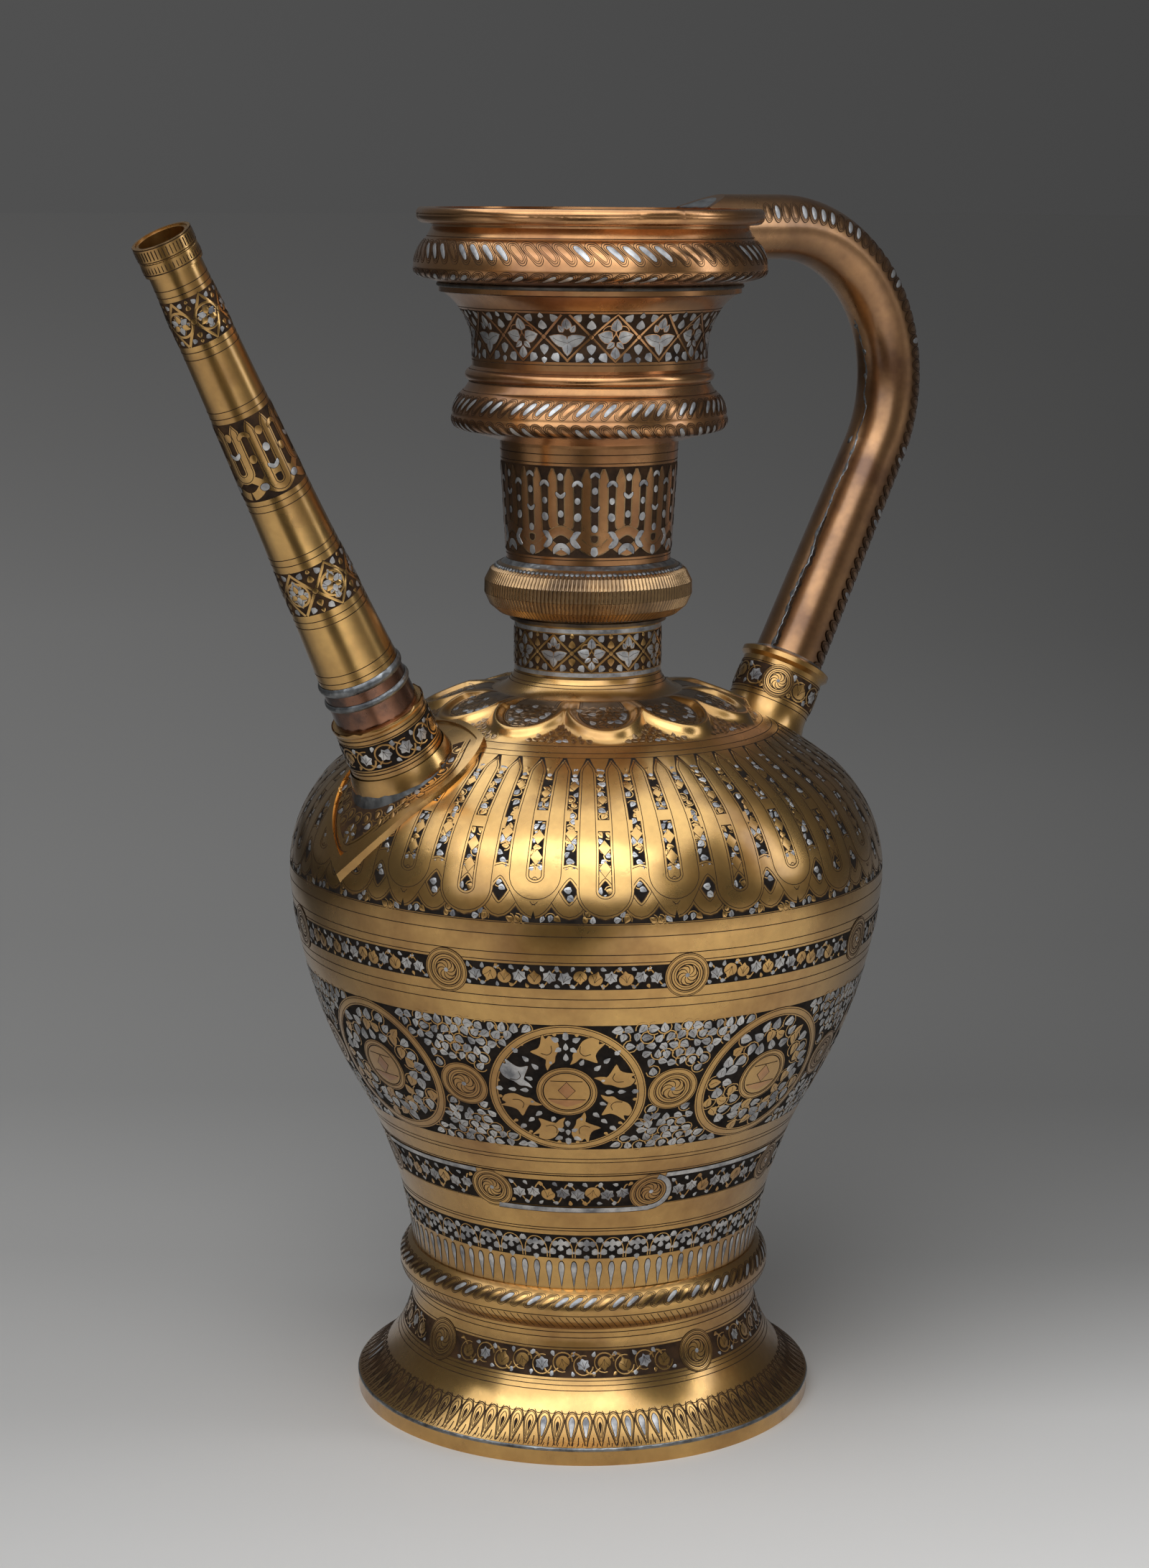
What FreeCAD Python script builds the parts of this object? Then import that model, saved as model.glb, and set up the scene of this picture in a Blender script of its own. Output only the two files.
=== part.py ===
"""Ibrik ewer: a spouted and handled brass ewer on a flared foot.

The ewer is turned up from separate sheet-metal pieces that are soldered together. The frame
stands on the floor: the origin is the foot's bottom centre, +Z is up, the spout leans to -X and
the handle stands on +X. Lengths are millimetres and angles are degrees.
"""
import FreeCAD, Part
import math
import os
import Sketcher

os.makedirs("parts", exist_ok=True)
doc = FreeCAD.newDocument("ibrik_ewer")

# Driving dimensions
SIZES = {
    "sheet_wall": 1.5,
    "solder_gap": 0.05,
    "cut_overrun": 30.0,
    "base_radius": 92.0,
    "base_height": 7.2,
    "base_wall": 2.0,
    "foot_height": 47.0,
    "waist_radius": 69.4,
    "girdle_radius": 74.8,
    "girdle_height": 16.0,
    "girdle_edge": 0.6,
    "floor_thickness": 1.5,
    "body_radius": 117.9,
    "belly_height": 157.5,
    "shoulder_height": 82.6,
    "neck_radius": 28.9,
    "neck_height": 20.6,
    "inlay_height": 1.6,
    "inlay_depth": 0.4,
    "inlay_rise": 0.1,
    "inlay_margin": 1.0,
    "cord_radius": 40.7,
    "cord_height": 22.4,
    "cord_foot_radius": 30.4,
    "cord_top_radius": 34.6,
    "cord_stem": 1.9,
    "cord_depth": 0.35,
    "cord_count": 152,
    "tube_foot_radius": 32.0,
    "tube_top_radius": 34.8,
    "tube_height": 46.6,
    "bulb_radius": 53.4,
    "bulb_height": 23.4,
    "cup_foot_radius": 46.9,
    "cup_radius": 45.7,
    "bead_rise": 1.5,
    "ledge_radius": 58.6,
    "cup_height": 37.4,
    "ring_radius": 68.4,
    "ring_top_radius": 61.2,
    "ring_height": 22.8,
    "lip_radius": 67.1,
    "lip_height": 6.2,
    "spout_inset": 29.3,
    "spout_tilt": 27.0,
    "spout_wall": 1.2,
    "sleeve_length": 43.5,
    "sleeve_radius": 17.3,
    "tube_root_radius": 15.7,
    "spout_middle_radius": 12.2,
    "spout_tip_radius": 9.9,
    "spout_length": 223.6,
    "ferrule_height": 10.8,
    "ferrule_wall": 1.0,
    "ferrule_rim": 0.6,
    "solder_rise": 0.9,
    "solder_width": 3.6,
    "solder_spacing": 3.4,
    "collar_length": 26.6,
    "collar_radius": 17.9,
    "collar_root_radius": 18.9,
    "root_solder_radius": 24.5,
    "root_solder_height": 6.5,
    "plate_thickness": 1.4,
    "plate_lip": 1.1,
    "plate_lip_width": 2.4,
    "plate_half_width": 30.5,
    "plate_top": 29.5,
    "plate_tip": 44.5,
    "handle_inset": 26.8,
    "handle_tilt": 28.4,
    "handle_bend": 62.6,
    "handle_radius": 12.9,
    "handle_root_radius": 14.8,
    "handle_wall": 1.4,
    "tongue_rise": 5.5,
    "tongue_reach": 14.5,
    "tongue_edge": 0.5,
    "plug_length": 14.0,
    "socket_length": 29.6,
    "socket_radius": 17.2,
    "socket_lip_radius": 18.9,
    "socket_lip_height": 4.4,
    "socket_flare": 4.8,
    "socket_solder": 1.5,
    "bead_height": 1.6,
    "bead_width": 2.1,
}
sheet = doc.addObject("Spreadsheet::Sheet", "Sizes")
for row, (alias, number) in enumerate(SIZES.items(), start=1):
    sheet.set("A%d" % row, alias)
    sheet.set("B%d" % row, str(number))
    sheet.setAlias("B%d" % row, alias)
doc.recompute()


class Size:
    """A length that carries its number and the formula that ties it to the sheet's cells."""

    def __init__(self, number, formula):
        self.number = number
        self.formula = formula

    def __add__(self, other):
        return Size(self.number + other.number, "(%s + %s)" % (self.formula, other.formula))

    def __sub__(self, other):
        return Size(self.number - other.number, "(%s - %s)" % (self.formula, other.formula))

    def __mul__(self, factor):
        return Size(self.number * factor, "(%s * %.6f)" % (self.formula, factor))

    def __neg__(self):
        return self * -1


def size(alias):
    """The sheet's value of one driving dimension, as a bound size."""
    return Size(float(sheet.get(alias)), "Sizes." + alias)


ZERO = Size(0.0, "0")
HALF_SHARE = 0.5


def between(low, high, share):
    """A size that lies the given share of the way from low to high."""
    return low + (high - low) * share


def vector(point):
    return FreeCAD.Vector(point[0].number, point[1].number, 0)


# Outlines: a start point, then ("line", end) and ("arc", middle, end) steps

def curve(start, step):
    """The step's curve, with every arc drawn anticlockwise, as a sketch keeps it."""
    if step[0] == "line":
        return Part.LineSegment(vector(start), vector(step[1]))
    first, middle, last = vector(start), vector(step[1]), vector(step[2])
    if (middle - first).cross(last - middle).z > 0:
        return Part.ArcOfCircle(first, middle, last)
    return Part.ArcOfCircle(last, middle, first)


def tangents(start, step):
    """Unit directions at the start and the end of one step."""
    edge = curve(start, step).toShape()
    first, last = edge.ParameterRange
    begin = edge.valueAt(first).distanceToPoint(vector(start))
    end = edge.valueAt(last).distanceToPoint(vector(start))
    if begin < end:
        return edge.tangentAt(first), edge.tangentAt(last)
    return edge.tangentAt(last) * -1, edge.tangentAt(first) * -1


def moved(point, across, distance):
    """A point moved along a unit direction by a bound distance."""
    return (point[0] + distance * across.x, point[1] + distance * across.y)


def offset(outline, distance):
    """The outline moved to its left by the distance, with level cuts at both ends."""
    start, steps = outline
    points = [start] + [step[-1] for step in steps]
    ends = [tangents(points[i], step) for i, step in enumerate(steps)]
    placed = []
    for i, point in enumerate(points):
        arriving = ends[i - 1][1] if i > 0 else ends[0][0]
        leaving = ends[i][0] if i < len(ends) else ends[-1][1]
        first = FreeCAD.Vector(-arriving.y, arriving.x, 0)
        second = FreeCAD.Vector(-leaving.y, leaving.x, 0)
        across = (first + second).normalize()
        if i in (0, len(points) - 1):
            across = FreeCAD.Vector(1.0 / across.x, 0, 0)
        else:
            across = across * (1.0 / across.dot(first))
        placed.append(moved(point, across, distance))
    moved_steps = []
    for i, step in enumerate(steps):
        if step[0] == "line":
            moved_steps.append(("line", placed[i + 1]))
            continue
        arc = curve(points[i], step)
        outward = (vector(step[1]) - arc.Center).normalize()
        chord = vector(points[i + 1]) - vector(points[i])
        left = FreeCAD.Vector(-chord.y, chord.x, 0)
        outward = outward if outward.dot(left) > 0 else outward * -1
        moved_steps.append(("arc", moved(step[1], outward, distance), placed[i + 1]))
    return placed[0], moved_steps


def reverse(outline):
    """The same outline walked from its end to its start."""
    start, steps = outline
    points = [start] + [step[-1] for step in steps]
    back = []
    for i in range(len(steps) - 1, -1, -1):
        back.append(steps[i][:-1] + (points[i],))
    return points[-1], back


def joined(outline, other):
    """A closed outline: the first one, a line across, and the other one back."""
    return outline[0], outline[1] + [("line", other[0])] + other[1] + [("line", outline[0])]


def shell(outline, wall):
    """A sheet of even thickness whose outer face is the outline, walked upwards."""
    return joined(outline, reverse(offset(outline, wall)))


def filled(outline):
    """The outline closed to the axis."""
    start, steps = outline
    end = steps[-1][-1]
    return start, steps + [("line", (ZERO, end[1])), ("line", (ZERO, start[1])), ("line", start)]


def scaled(shares, low, high):
    """Outline steps from tables of shares between a low corner and a high corner."""
    placed = []
    for kind, *pairs in shares:
        points = tuple((between(low[0], high[0], x), between(low[1], high[1], y)) for x, y in pairs)
        placed.append((kind,) + points)
    return placed


def fix_point(sketch, geometry, end, point):
    """Tie one sketch point to the sheet by its two distances from the origin."""
    for name, length in (("DistanceX", point[0]), ("DistanceY", point[1])):
        if length.formula == "0":
            axis = -2 if name == "DistanceX" else -1
            sketch.addConstraint(Sketcher.Constraint("PointOnObject", geometry, end, axis))
            continue
        index = sketch.addConstraint(
            Sketcher.Constraint(name, -1, 1, geometry, end, length.number))
        sketch.setExpression("Constraints[%d]" % index, length.formula)


def draw(sketch, outline):
    """Draw a closed outline with every corner bound to the sheet."""
    start, steps = outline
    for step in steps:
        shape = curve(start, step)
        index = sketch.addGeometry(shape, False)
        drawn = sketch.Geometry[index]
        same_way = drawn.StartPoint.distanceToPoint(vector(start)) < drawn.EndPoint.distanceToPoint(
            vector(start))
        first, last = (1, 2) if same_way else (2, 1)
        fix_point(sketch, index, first, start)
        fix_point(sketch, index, last, step[-1])
        if step[0] == "arc":
            marker = sketch.addGeometry(Part.Point(vector(step[1])), True)
            sketch.addConstraint(Sketcher.Constraint("PointOnObject", marker, 1, index))
            fix_point(sketch, marker, 1, step[1])
        start = step[-1]


def plane_of(body, role):
    return [plane for plane in body.Origin.OriginFeatures if plane.Role == role][0]


def new_sketch(body, role):
    sketch = body.newObject("Sketcher::SketchObject", body.Name + "_outline")
    sketch.AttachmentSupport = [(plane_of(body, role), "")]
    sketch.MapMode = "FlatFace"
    return sketch


def turned(name, *outlines):
    """A body turned about its Z axis from closed outlines of radius and height."""
    body = doc.addObject("PartDesign::Body", name)
    sketch = new_sketch(body, "XZ_Plane")
    for outline in outlines:
        draw(sketch, outline)
    turn = body.newObject("PartDesign::Revolution", name + "_turn")
    turn.Profile = (sketch, [""])
    turn.ReferenceAxis = (sketch, ["V_Axis"])
    turn.Angle = 360
    body.Tip = turn
    return body


def boolean(kind, name, base, *tools):
    """Cut, join or intersect whole pieces."""
    result = base
    for index, tool in enumerate(tools):
        step = doc.addObject("Part::" + kind, name if index == len(tools) - 1 else name + "_step")
        step.Base = result
        step.Tool = tool
        result = step
    return result


def primitive(kind, name, placement, **lengths):
    """A Part primitive whose lengths are bound to the sheet."""
    solid = doc.addObject("Part::" + kind, name)
    for key, length in lengths.items():
        setattr(solid, key, length.number)
        solid.setExpression(key, length.formula)
    solid.Placement = placement
    return solid


nodes = {}


def node(name, piece):
    piece.Label = name
    nodes[name] = piece
    return piece


wall = size("sheet_wall")
gap = size("solder_gap")
overrun = size("cut_overrun")

# Heights where the pieces meet
base_top = size("base_height")
foot_top = base_top + size("foot_height")
body_foot = foot_top + size("floor_thickness")
belly = body_foot + size("belly_height")
shoulder_top = belly + size("shoulder_height")
neck_top = shoulder_top + size("neck_height")
cord_top = neck_top + size("cord_height")
tube_top = cord_top + size("tube_height")
bulb_top = tube_top + size("bulb_height")
cup_top = bulb_top + size("cup_height")
ring_top = cup_top + size("ring_height")
rim_top = ring_top + size("lip_height")


# Base rim: the plain band that the whole ewer stands on
base_inner = size("base_radius") - size("base_wall")
base_outline = ((size("base_radius"), ZERO), [
    ("line", (size("base_radius"), base_top)),
    ("line", (base_inner, base_top)),
    ("line", (base_inner, ZERO)),
    ("line", (size("base_radius"), ZERO))])
node("base_rim", turned("base_rim", base_outline))


def bead(name, radius, height, rise, width):
    """A soft solder bead round a seam, with its round side outwards."""
    half = width * HALF_SHARE
    outline = ((radius, height - half), [
        ("arc", (radius + rise, height), (radius, height + half)),
        ("line", (radius, height - half))])
    return turned(name, outline)


bead_width = size("bead_width")
bead_height = size("bead_height")
FOOT_BEAD_SHARE = 0.3
node("foot_solder", bead("foot_solder", size("base_radius") + gap,
                         base_top - bead_height * HALF_SHARE, bead_height * FOOT_BEAD_SHARE,
                         bead_height))

# Foot: a flared skirt that sweeps up to the waist
FOOT_SHARES = [("arc", (0.283, 0.347), (0.0, 0.762)), ("line", (0.0, 1.0))]
foot_start = (size("base_radius"), base_top)
foot_outline = (foot_start, scaled(
    FOOT_SHARES, (size("waist_radius"), base_top), (size("base_radius"), foot_top)))
node("foot", turned("foot", shell(foot_outline, wall)))

# Floor disc, clamped between the foot and the body, and the girdle that hides the joint
floor_outline = ((size("waist_radius"), foot_top), [
    ("line", (size("waist_radius"), body_foot)),
    ("line", (ZERO, body_foot)),
    ("line", (ZERO, foot_top)),
    ("line", (size("waist_radius"), foot_top))])
node("base_plate", turned("base_plate", floor_outline))

GIRDLE_BULGE_SHARES = (0.66, 0.34)
girdle_bore = size("waist_radius") + gap
girdle_middle = foot_top + size("floor_thickness") * HALF_SHARE
girdle_foot = girdle_middle - size("girdle_height") * HALF_SHARE
girdle_top = girdle_foot + size("girdle_height")
girdle_side = girdle_bore + size("girdle_edge")
girdle_swell = between(girdle_side, size("girdle_radius"), GIRDLE_BULGE_SHARES[0])
girdle_outline = ((girdle_side, girdle_foot), [
    ("arc", (girdle_swell, between(girdle_foot, girdle_middle, GIRDLE_BULGE_SHARES[1])),
     (size("girdle_radius"), girdle_middle)),
    ("arc", (girdle_swell, between(girdle_top, girdle_middle, GIRDLE_BULGE_SHARES[1])),
     (girdle_side, girdle_top)),
    ("line", (girdle_bore, girdle_top)),
    ("line", (girdle_bore, girdle_foot)),
    ("line", (girdle_side, girdle_foot))])
node("foot_girdle", turned("foot_girdle", girdle_outline))

# Body: a swelling vase with a domed shoulder and the lower neck drawn up in one piece
BELLY_SHARES = [("arc", (0.1835, 0.2876), (0.4474, 0.4717)), ("arc", (0.7938, 0.7048), (1.0, 1.0))]
SHOULDER_SHARES = [
    ("arc", (0.9438, 0.3257), (0.8056, 0.5315)),
    ("arc", (0.4944, 0.7482), (0.1303, 0.9104)),
    ("arc", (0.0382, 0.9407), (0.0, 1.0))]
body_start = (size("waist_radius"), body_foot)
body_outline = (body_start, [("line", (size("waist_radius"), girdle_top))]
                + scaled(BELLY_SHARES, body_start, (size("body_radius"), belly))
                + scaled(SHOULDER_SHARES, (size("neck_radius"), belly),
                         (size("body_radius"), shoulder_top))
                + [("line", (size("neck_radius"), neck_top))])
body_sheet = turned("body_sheet", shell(body_outline, wall))
body_envelope = turned("body_envelope", filled(body_outline))
plate_envelope = turned("plate_envelope", filled(offset(body_outline, -size("plate_thickness"))))
plate_lip_height = size("plate_thickness") + size("plate_lip")
lip_envelope = turned("lip_envelope", filled(offset(body_outline, -plate_lip_height)))
doc.recompute()


def height_on_body(reach):
    """Height of the shoulder's outer face at a distance from the axis."""
    foot = FreeCAD.Vector(reach.number, 0, belly.number)
    post = Part.makeLine(foot, foot + FreeCAD.Vector(0, 0, size("shoulder_height").number))
    return body_envelope.Shape.common(post).BoundBox.ZMax


def leaning(inset, direction, tilt):
    """Placement on the shoulder, inside the belly's reach, whose Z axis leans away from the ewer."""
    reach = size("body_radius") - inset
    root = FreeCAD.Vector(direction * reach.number, 0, height_on_body(reach))
    lean = FreeCAD.Rotation(FreeCAD.Vector(0, 1, 0), direction * tilt.number)
    return FreeCAD.Placement(root, lean)


spout_frame = leaning(size("spout_inset"), -1, size("spout_tilt"))
handle_frame = leaning(size("handle_inset"), 1, size("handle_tilt"))


# Two silver wires let into grooves of the lower neck
def inlay(name, low):
    high = low + size("inlay_height")
    outer = size("neck_radius") + size("inlay_rise")
    inner = size("neck_radius") - size("inlay_depth")
    outline = ((outer, low), [("line", (outer, high)), ("line", (inner, high)),
                              ("line", (inner, low)), ("line", (outer, low))])
    return turned(name, outline)


lower_wire = inlay("lower_wire", shoulder_top + size("inlay_margin"))
upper_wire = inlay("upper_wire", neck_top - size("inlay_margin") - size("inlay_height"))
wires = boolean("Fuse", "neck_silver_lines", lower_wire, upper_wire)
node("neck_silver_lines", wires)

# The body is pierced where the spout's sleeve stands on it
sleeve_bore = size("sleeve_radius") - size("spout_wall")
pierce = primitive("Cylinder", "spout_pierce", spout_frame * FreeCAD.Placement(
    FreeCAD.Vector(0, 0, -overrun.number), FreeCAD.Rotation()),
    Radius=sleeve_bore, Height=overrun * 2)
node("body_shell", boolean("Cut", "body_shell", body_sheet, pierce, wires))

# Corded collar: a hollow bulge whose outside is drawn into upright cords
cord_low = neck_top + size("cord_stem")
CORD_STATIONS = 6
CORD_FADE_SHARE = 0.08
cord_middle = between(cord_low, cord_top, HALF_SHARE)
cord_arc = Part.ArcOfCircle(vector((size("cord_foot_radius"), cord_low)),
                    vector((size("cord_radius"), cord_middle)),
                    vector((size("cord_top_radius"), cord_top)))


def corded_ring(radius, height, depth, count):
    """A closed ring of pointed flutes, standing proud of the radius less the depth."""
    points = []
    for step in range(2 * count):
        angle = math.pi * step / count
        reach = radius if step % 2 == 0 else radius - depth
        points.append(FreeCAD.Vector(reach * math.cos(angle), reach * math.sin(angle), height))
    return Part.makePolygon(points + points[:1])


def corded_bulge():
    """The fluted outside as ruled strips between rings along the bulge."""
    count = int(size("cord_count").number)
    first, last = cord_arc.FirstParameter, cord_arc.LastParameter
    rings = []
    for step in range(CORD_STATIONS + 1):
        share = step / CORD_STATIONS
        place = cord_arc.value(first + (last - first) * share)
        inner_share = max(CORD_FADE_SHARE, min(1 - CORD_FADE_SHARE, share))
        depth = size("cord_depth").number * math.sin(math.pi * inner_share)
        rings.append(corded_ring(place.x, place.y, depth, count))
    return Part.makeLoft(rings, True, True)


bulge = doc.addObject("Part::Feature", "cord_bulge")
bulge.Shape = corded_bulge()
bore_foot = size("neck_radius") - wall
bore_top = size("tube_foot_radius") - wall
cavity_low = cord_low + wall
cavity_high = cord_top - wall
cord_cavity = turned("cord_cavity", filled(((bore_foot, neck_top - wall), [
    ("line", (bore_foot, cavity_low)),
    ("arc", (size("cord_radius") - wall - size("cord_depth"), cord_middle),
     (bore_top, cavity_high)),
    ("line", (bore_top, cord_top + wall))])))
cord_stem = turned("cord_stem", filled((
    (size("cord_foot_radius"), neck_top), [("line", (size("cord_foot_radius"), cord_low))])))
collar_solid = boolean("Fuse", "cord_solid", bulge, cord_stem)
node("corded_collar", boolean("Cut", "corded_collar", collar_solid, cord_cavity))

# Neck tube and the solder at its foot
neck_outline = ((size("tube_foot_radius"), cord_top), [
    ("line", (size("tube_top_radius"), tube_top))])
node("neck_tube", turned("neck_tube", shell(neck_outline, wall)))
neck_bead_foot = size("tube_foot_radius") + gap * 2
neck_bead_outline = ((neck_bead_foot, cord_top), [
    ("line", (neck_bead_foot + bead_width, cord_top)),
    ("line", (neck_bead_foot + gap * 2, cord_top + bead_height)),
    ("line", (neck_bead_foot, cord_top))])
node("neck_solder", turned("neck_solder", neck_bead_outline))

# Mouth bulb: the low bulge with a ridge that spreads from the neck tube
BULB_SHARES = [
    ("line", (0.0, 0.05)), ("line", (0.83, 0.235)),
    ("arc", (0.975, 0.30), (1.0, 0.47)), ("arc", (0.93, 0.70), (0.745, 0.885))]
bulb_outline = ((size("tube_top_radius"), tube_top), scaled(
    BULB_SHARES, (size("tube_top_radius"), tube_top), (size("bulb_radius"), bulb_top))
    + [("line", (size("cup_foot_radius"), bulb_top))])
node("mouth_bulb", turned("mouth_bulb", shell(bulb_outline, wall)))

# Mouth cup: a bead, a hollow flare and the ledge under the upper ring
cup_bead = size("cup_foot_radius") + size("bead_rise")
CUP_BEAD_SHARES = (0.02, 0.078, 0.135)
CUP_FLARE_SHARES = [
    ("line", (0.0, 0.17)), ("line", (0.0, 0.34)),
    ("arc", (0.21, 0.66), (0.87, 0.92)), ("line", (1.0, 0.93)), ("line", (1.0, 1.0))]
cup_levels = [between(bulb_top, cup_top, share) for share in CUP_BEAD_SHARES]
cup_outline = ((size("cup_foot_radius"), bulb_top), [
    ("line", (size("cup_foot_radius"), cup_levels[0])),
    ("arc", (cup_bead, cup_levels[1]), (size("cup_foot_radius"), cup_levels[2]))]
    + scaled(CUP_FLARE_SHARES, (size("cup_radius"), bulb_top), (size("ledge_radius"), cup_top)))
node("mouth_cup", turned("mouth_cup", shell(cup_outline, wall)))

# Mouth ring: the upper bulge with its ridge
RING_SHARES = [
    ("line", (0.0, 0.035)), ("line", (0.81, 0.15)),
    ("arc", (0.975, 0.22), (1.0, 0.31)), ("arc", (0.88, 0.53), (0.49, 0.78))]
ring_steps = scaled(RING_SHARES, (size("ledge_radius"), cup_top), (size("ring_radius"), ring_top))
ring_stub = ring_top - size("solder_rise")
ring_outline = ((size("ledge_radius"), cup_top), ring_steps + [
    ("line", (size("ring_top_radius"), ring_stub)), ("line", (size("ring_top_radius"), ring_top))])
node("mouth_ring", turned("mouth_ring", shell(ring_outline, wall)))
node("mouth_solder", bead("mouth_solder", size("ledge_radius") + gap, cup_top - gap,
                          size("solder_rise"), size("bead_height")))

# Rim lip: a solid rolled edge
LIP_SHARES = [
    ("line", (0.45, 0.06)), ("arc", (0.92, 0.24), (1.0, 0.58)), ("arc", (0.88, 0.94), (0.55, 1.0))]
lip_throat = size("ring_top_radius") - wall
lip_outline = ((size("ring_top_radius"), ring_top), scaled(
    LIP_SHARES, (size("ring_top_radius"), ring_top), (size("lip_radius"), rim_top)))
lip_inside = (lip_throat, rim_top), [("line", (lip_throat, ring_top))]
node("rim_lip", turned("rim_lip", joined(lip_outline, lip_inside)))
mouth_envelope = turned("mouth_envelope", filled(
    (ring_outline[0], ring_outline[1] + lip_outline[1])))


# Spout: every piece is turned about the leaning spout axis
def on_spout(body):
    body.Placement = spout_frame
    return body


sleeve_end = size("sleeve_length")
tip_start = size("spout_length") - size("ferrule_height")
SPOUT_MIDDLE_SHARE = 0.46
spout_outline = ((size("tube_root_radius"), sleeve_end), [
    ("arc", (size("spout_middle_radius"), between(sleeve_end, tip_start, SPOUT_MIDDLE_SHARE)),
     (size("spout_tip_radius"), tip_start)),
    ("line", (size("spout_tip_radius"), size("spout_length")))])
node("spout_tube", on_spout(turned("spout_tube", shell(spout_outline, size("spout_wall")))))

# Ferrule round the tip, its edge standing just past the tube, in two rows
ferrule_bore = size("spout_tip_radius") + gap
ferrule_outside = ferrule_bore + size("ferrule_wall")
ferrule_foot = tip_start + gap
ferrule_top = size("spout_length") + size("ferrule_rim")
FERRULE_GROOVE_SHARES = (0.46, 0.48, 0.52, 0.54)
FERRULE_WEB_SHARE = 0.7
groove_levels = [between(ferrule_foot, ferrule_top, share) for share in FERRULE_GROOVE_SHARES]
groove_radius = ferrule_bore + size("ferrule_wall") * FERRULE_WEB_SHARE
ferrule_outline = ((ferrule_outside, ferrule_foot), [
    ("line", (ferrule_outside, groove_levels[0])),
    ("line", (groove_radius, groove_levels[1])),
    ("line", (groove_radius, groove_levels[2])),
    ("line", (ferrule_outside, groove_levels[3])),
    ("line", (ferrule_outside, ferrule_top)),
    ("line", (ferrule_bore, ferrule_top)),
    ("line", (ferrule_bore, ferrule_foot)),
    ("line", (ferrule_outside, ferrule_foot))])
node("spout_ferrule", on_spout(turned("spout_ferrule", ferrule_outline)))

# Copper sleeve that mends the spout's root, from the body's face up to the tube
sleeve_foot = -overrun
sleeve_slope = (SIZES["sleeve_radius"] - SIZES["tube_root_radius"]) / SIZES["sleeve_length"]
sleeve_low = size("sleeve_radius") + overrun * sleeve_slope
sleeve_outline = ((sleeve_low, sleeve_foot), [("line", (size("tube_root_radius"), sleeve_end))])
sleeve_blank = on_spout(turned("sleeve_blank", shell(sleeve_outline, size("spout_wall"))))
node("spout_sleeve", boolean("Cut", "spout_sleeve", sleeve_blank, body_envelope))


def sleeve_radius_at(level):
    """Outside radius of the sleeve at a distance along the spout axis."""
    return size("sleeve_radius") - level * sleeve_slope


ring_level = sleeve_end
upper_seat = size("tube_root_radius") + gap * 2
node("spout_ring_upper", on_spout(bead(
    "spout_ring_upper", upper_seat, ring_level, size("solder_rise"), size("solder_width"))))
LOWER_RING_SHARE = 0.75
lower_width = size("solder_width") * LOWER_RING_SHARE
lower_level = sleeve_end - size("solder_spacing") - size("solder_width")
lower_seat = sleeve_radius_at(lower_level - lower_width * HALF_SHARE) + gap
node("spout_ring_lower", on_spout(bead(
    "spout_ring_lower", lower_seat, lower_level, size("solder_rise"), lower_width)))

# Collar round the sleeve's lower half, standing on the escutcheon
collar_top = size("collar_length")
collar_slope = (SIZES["collar_root_radius"] - SIZES["collar_radius"]) / SIZES["collar_length"]
collar_outline = ((size("collar_root_radius") + overrun * collar_slope, sleeve_foot), [
    ("line", (size("collar_radius"), collar_top)),
    ("line", (sleeve_radius_at(collar_top) + gap, collar_top)),
    ("line", (sleeve_low + gap, sleeve_foot)),
    ("line", (size("collar_root_radius") + overrun * collar_slope, sleeve_foot))])
collar_blank = on_spout(turned("collar_blank", collar_outline))
node("spout_collar", boolean("Cut", "spout_collar", collar_blank, plate_envelope))

# Solder fillet round the collar's root
fillet_inner = size("collar_root_radius") + gap * 2
fillet_low = size("collar_root_radius") + overrun * collar_slope + gap
fillet_high = size("root_solder_height")
FILLET_SHARES = (0.36, 0.52)
fillet_outline = ((fillet_low, sleeve_foot), [
    ("line", (size("root_solder_radius"), sleeve_foot)),
    ("line", (size("root_solder_radius"), -fillet_high)),
    ("arc", (between(fillet_inner, size("root_solder_radius"), FILLET_SHARES[0]),
             between(-fillet_high, fillet_high, FILLET_SHARES[1])), (fillet_inner, fillet_high)),
    ("line", (fillet_low, sleeve_foot))])
fillet_blank = on_spout(turned("fillet_blank", fillet_outline))
node("spout_base_solder", boolean("Cut", "spout_base_solder", fillet_blank, plate_envelope))


# Escutcheon: a shield of sheet formed over the shoulder, with a raised border
CORNER_SHARES = (0.74, 0.85)
SIDE_SHARE = 0.17
HIP_SHARES = (0.82, 0.41)
FLANK_SHARES = (0.46, 0.775)


def shield_outline(inset):
    half = size("plate_half_width") - inset
    top = size("plate_top") - inset
    tip = size("plate_tip") - inset - inset
    corner = (half * CORNER_SHARES[0], -top * CORNER_SHARES[1])
    hip = (half * HIP_SHARES[0], tip * HIP_SHARES[1])
    side = (half, -top * SIDE_SHARE)
    flank = (half * FLANK_SHARES[0], tip * FLANK_SHARES[1])
    mirror = lambda point: (-point[0], point[1])
    return (corner, [
        ("arc", side, hip), ("arc", flank, (ZERO, tip)), ("arc", mirror(flank), mirror(hip)),
        ("arc", mirror(side), mirror(corner)), ("arc", (ZERO, -top), corner)])


def shield(name, inset):
    """A prism of the shield's outline along the spout axis."""
    body = doc.addObject("PartDesign::Body", name)
    sketch = new_sketch(body, "XY_Plane")
    draw(sketch, shield_outline(inset))
    pad = body.newObject("PartDesign::Pad", name + "_pad")
    pad.Profile = (sketch, [""])
    reach = size("plate_tip") * 2
    pad.Type = "Length"
    pad.Length = reach.number
    pad.setExpression("Length", reach.formula)
    pad.Midplane = True
    body.Tip = pad
    quarter = FreeCAD.Placement(FreeCAD.Vector(), FreeCAD.Rotation(FreeCAD.Vector(0, 0, 1), 90))
    body.Placement = spout_frame * quarter
    return body


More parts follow.
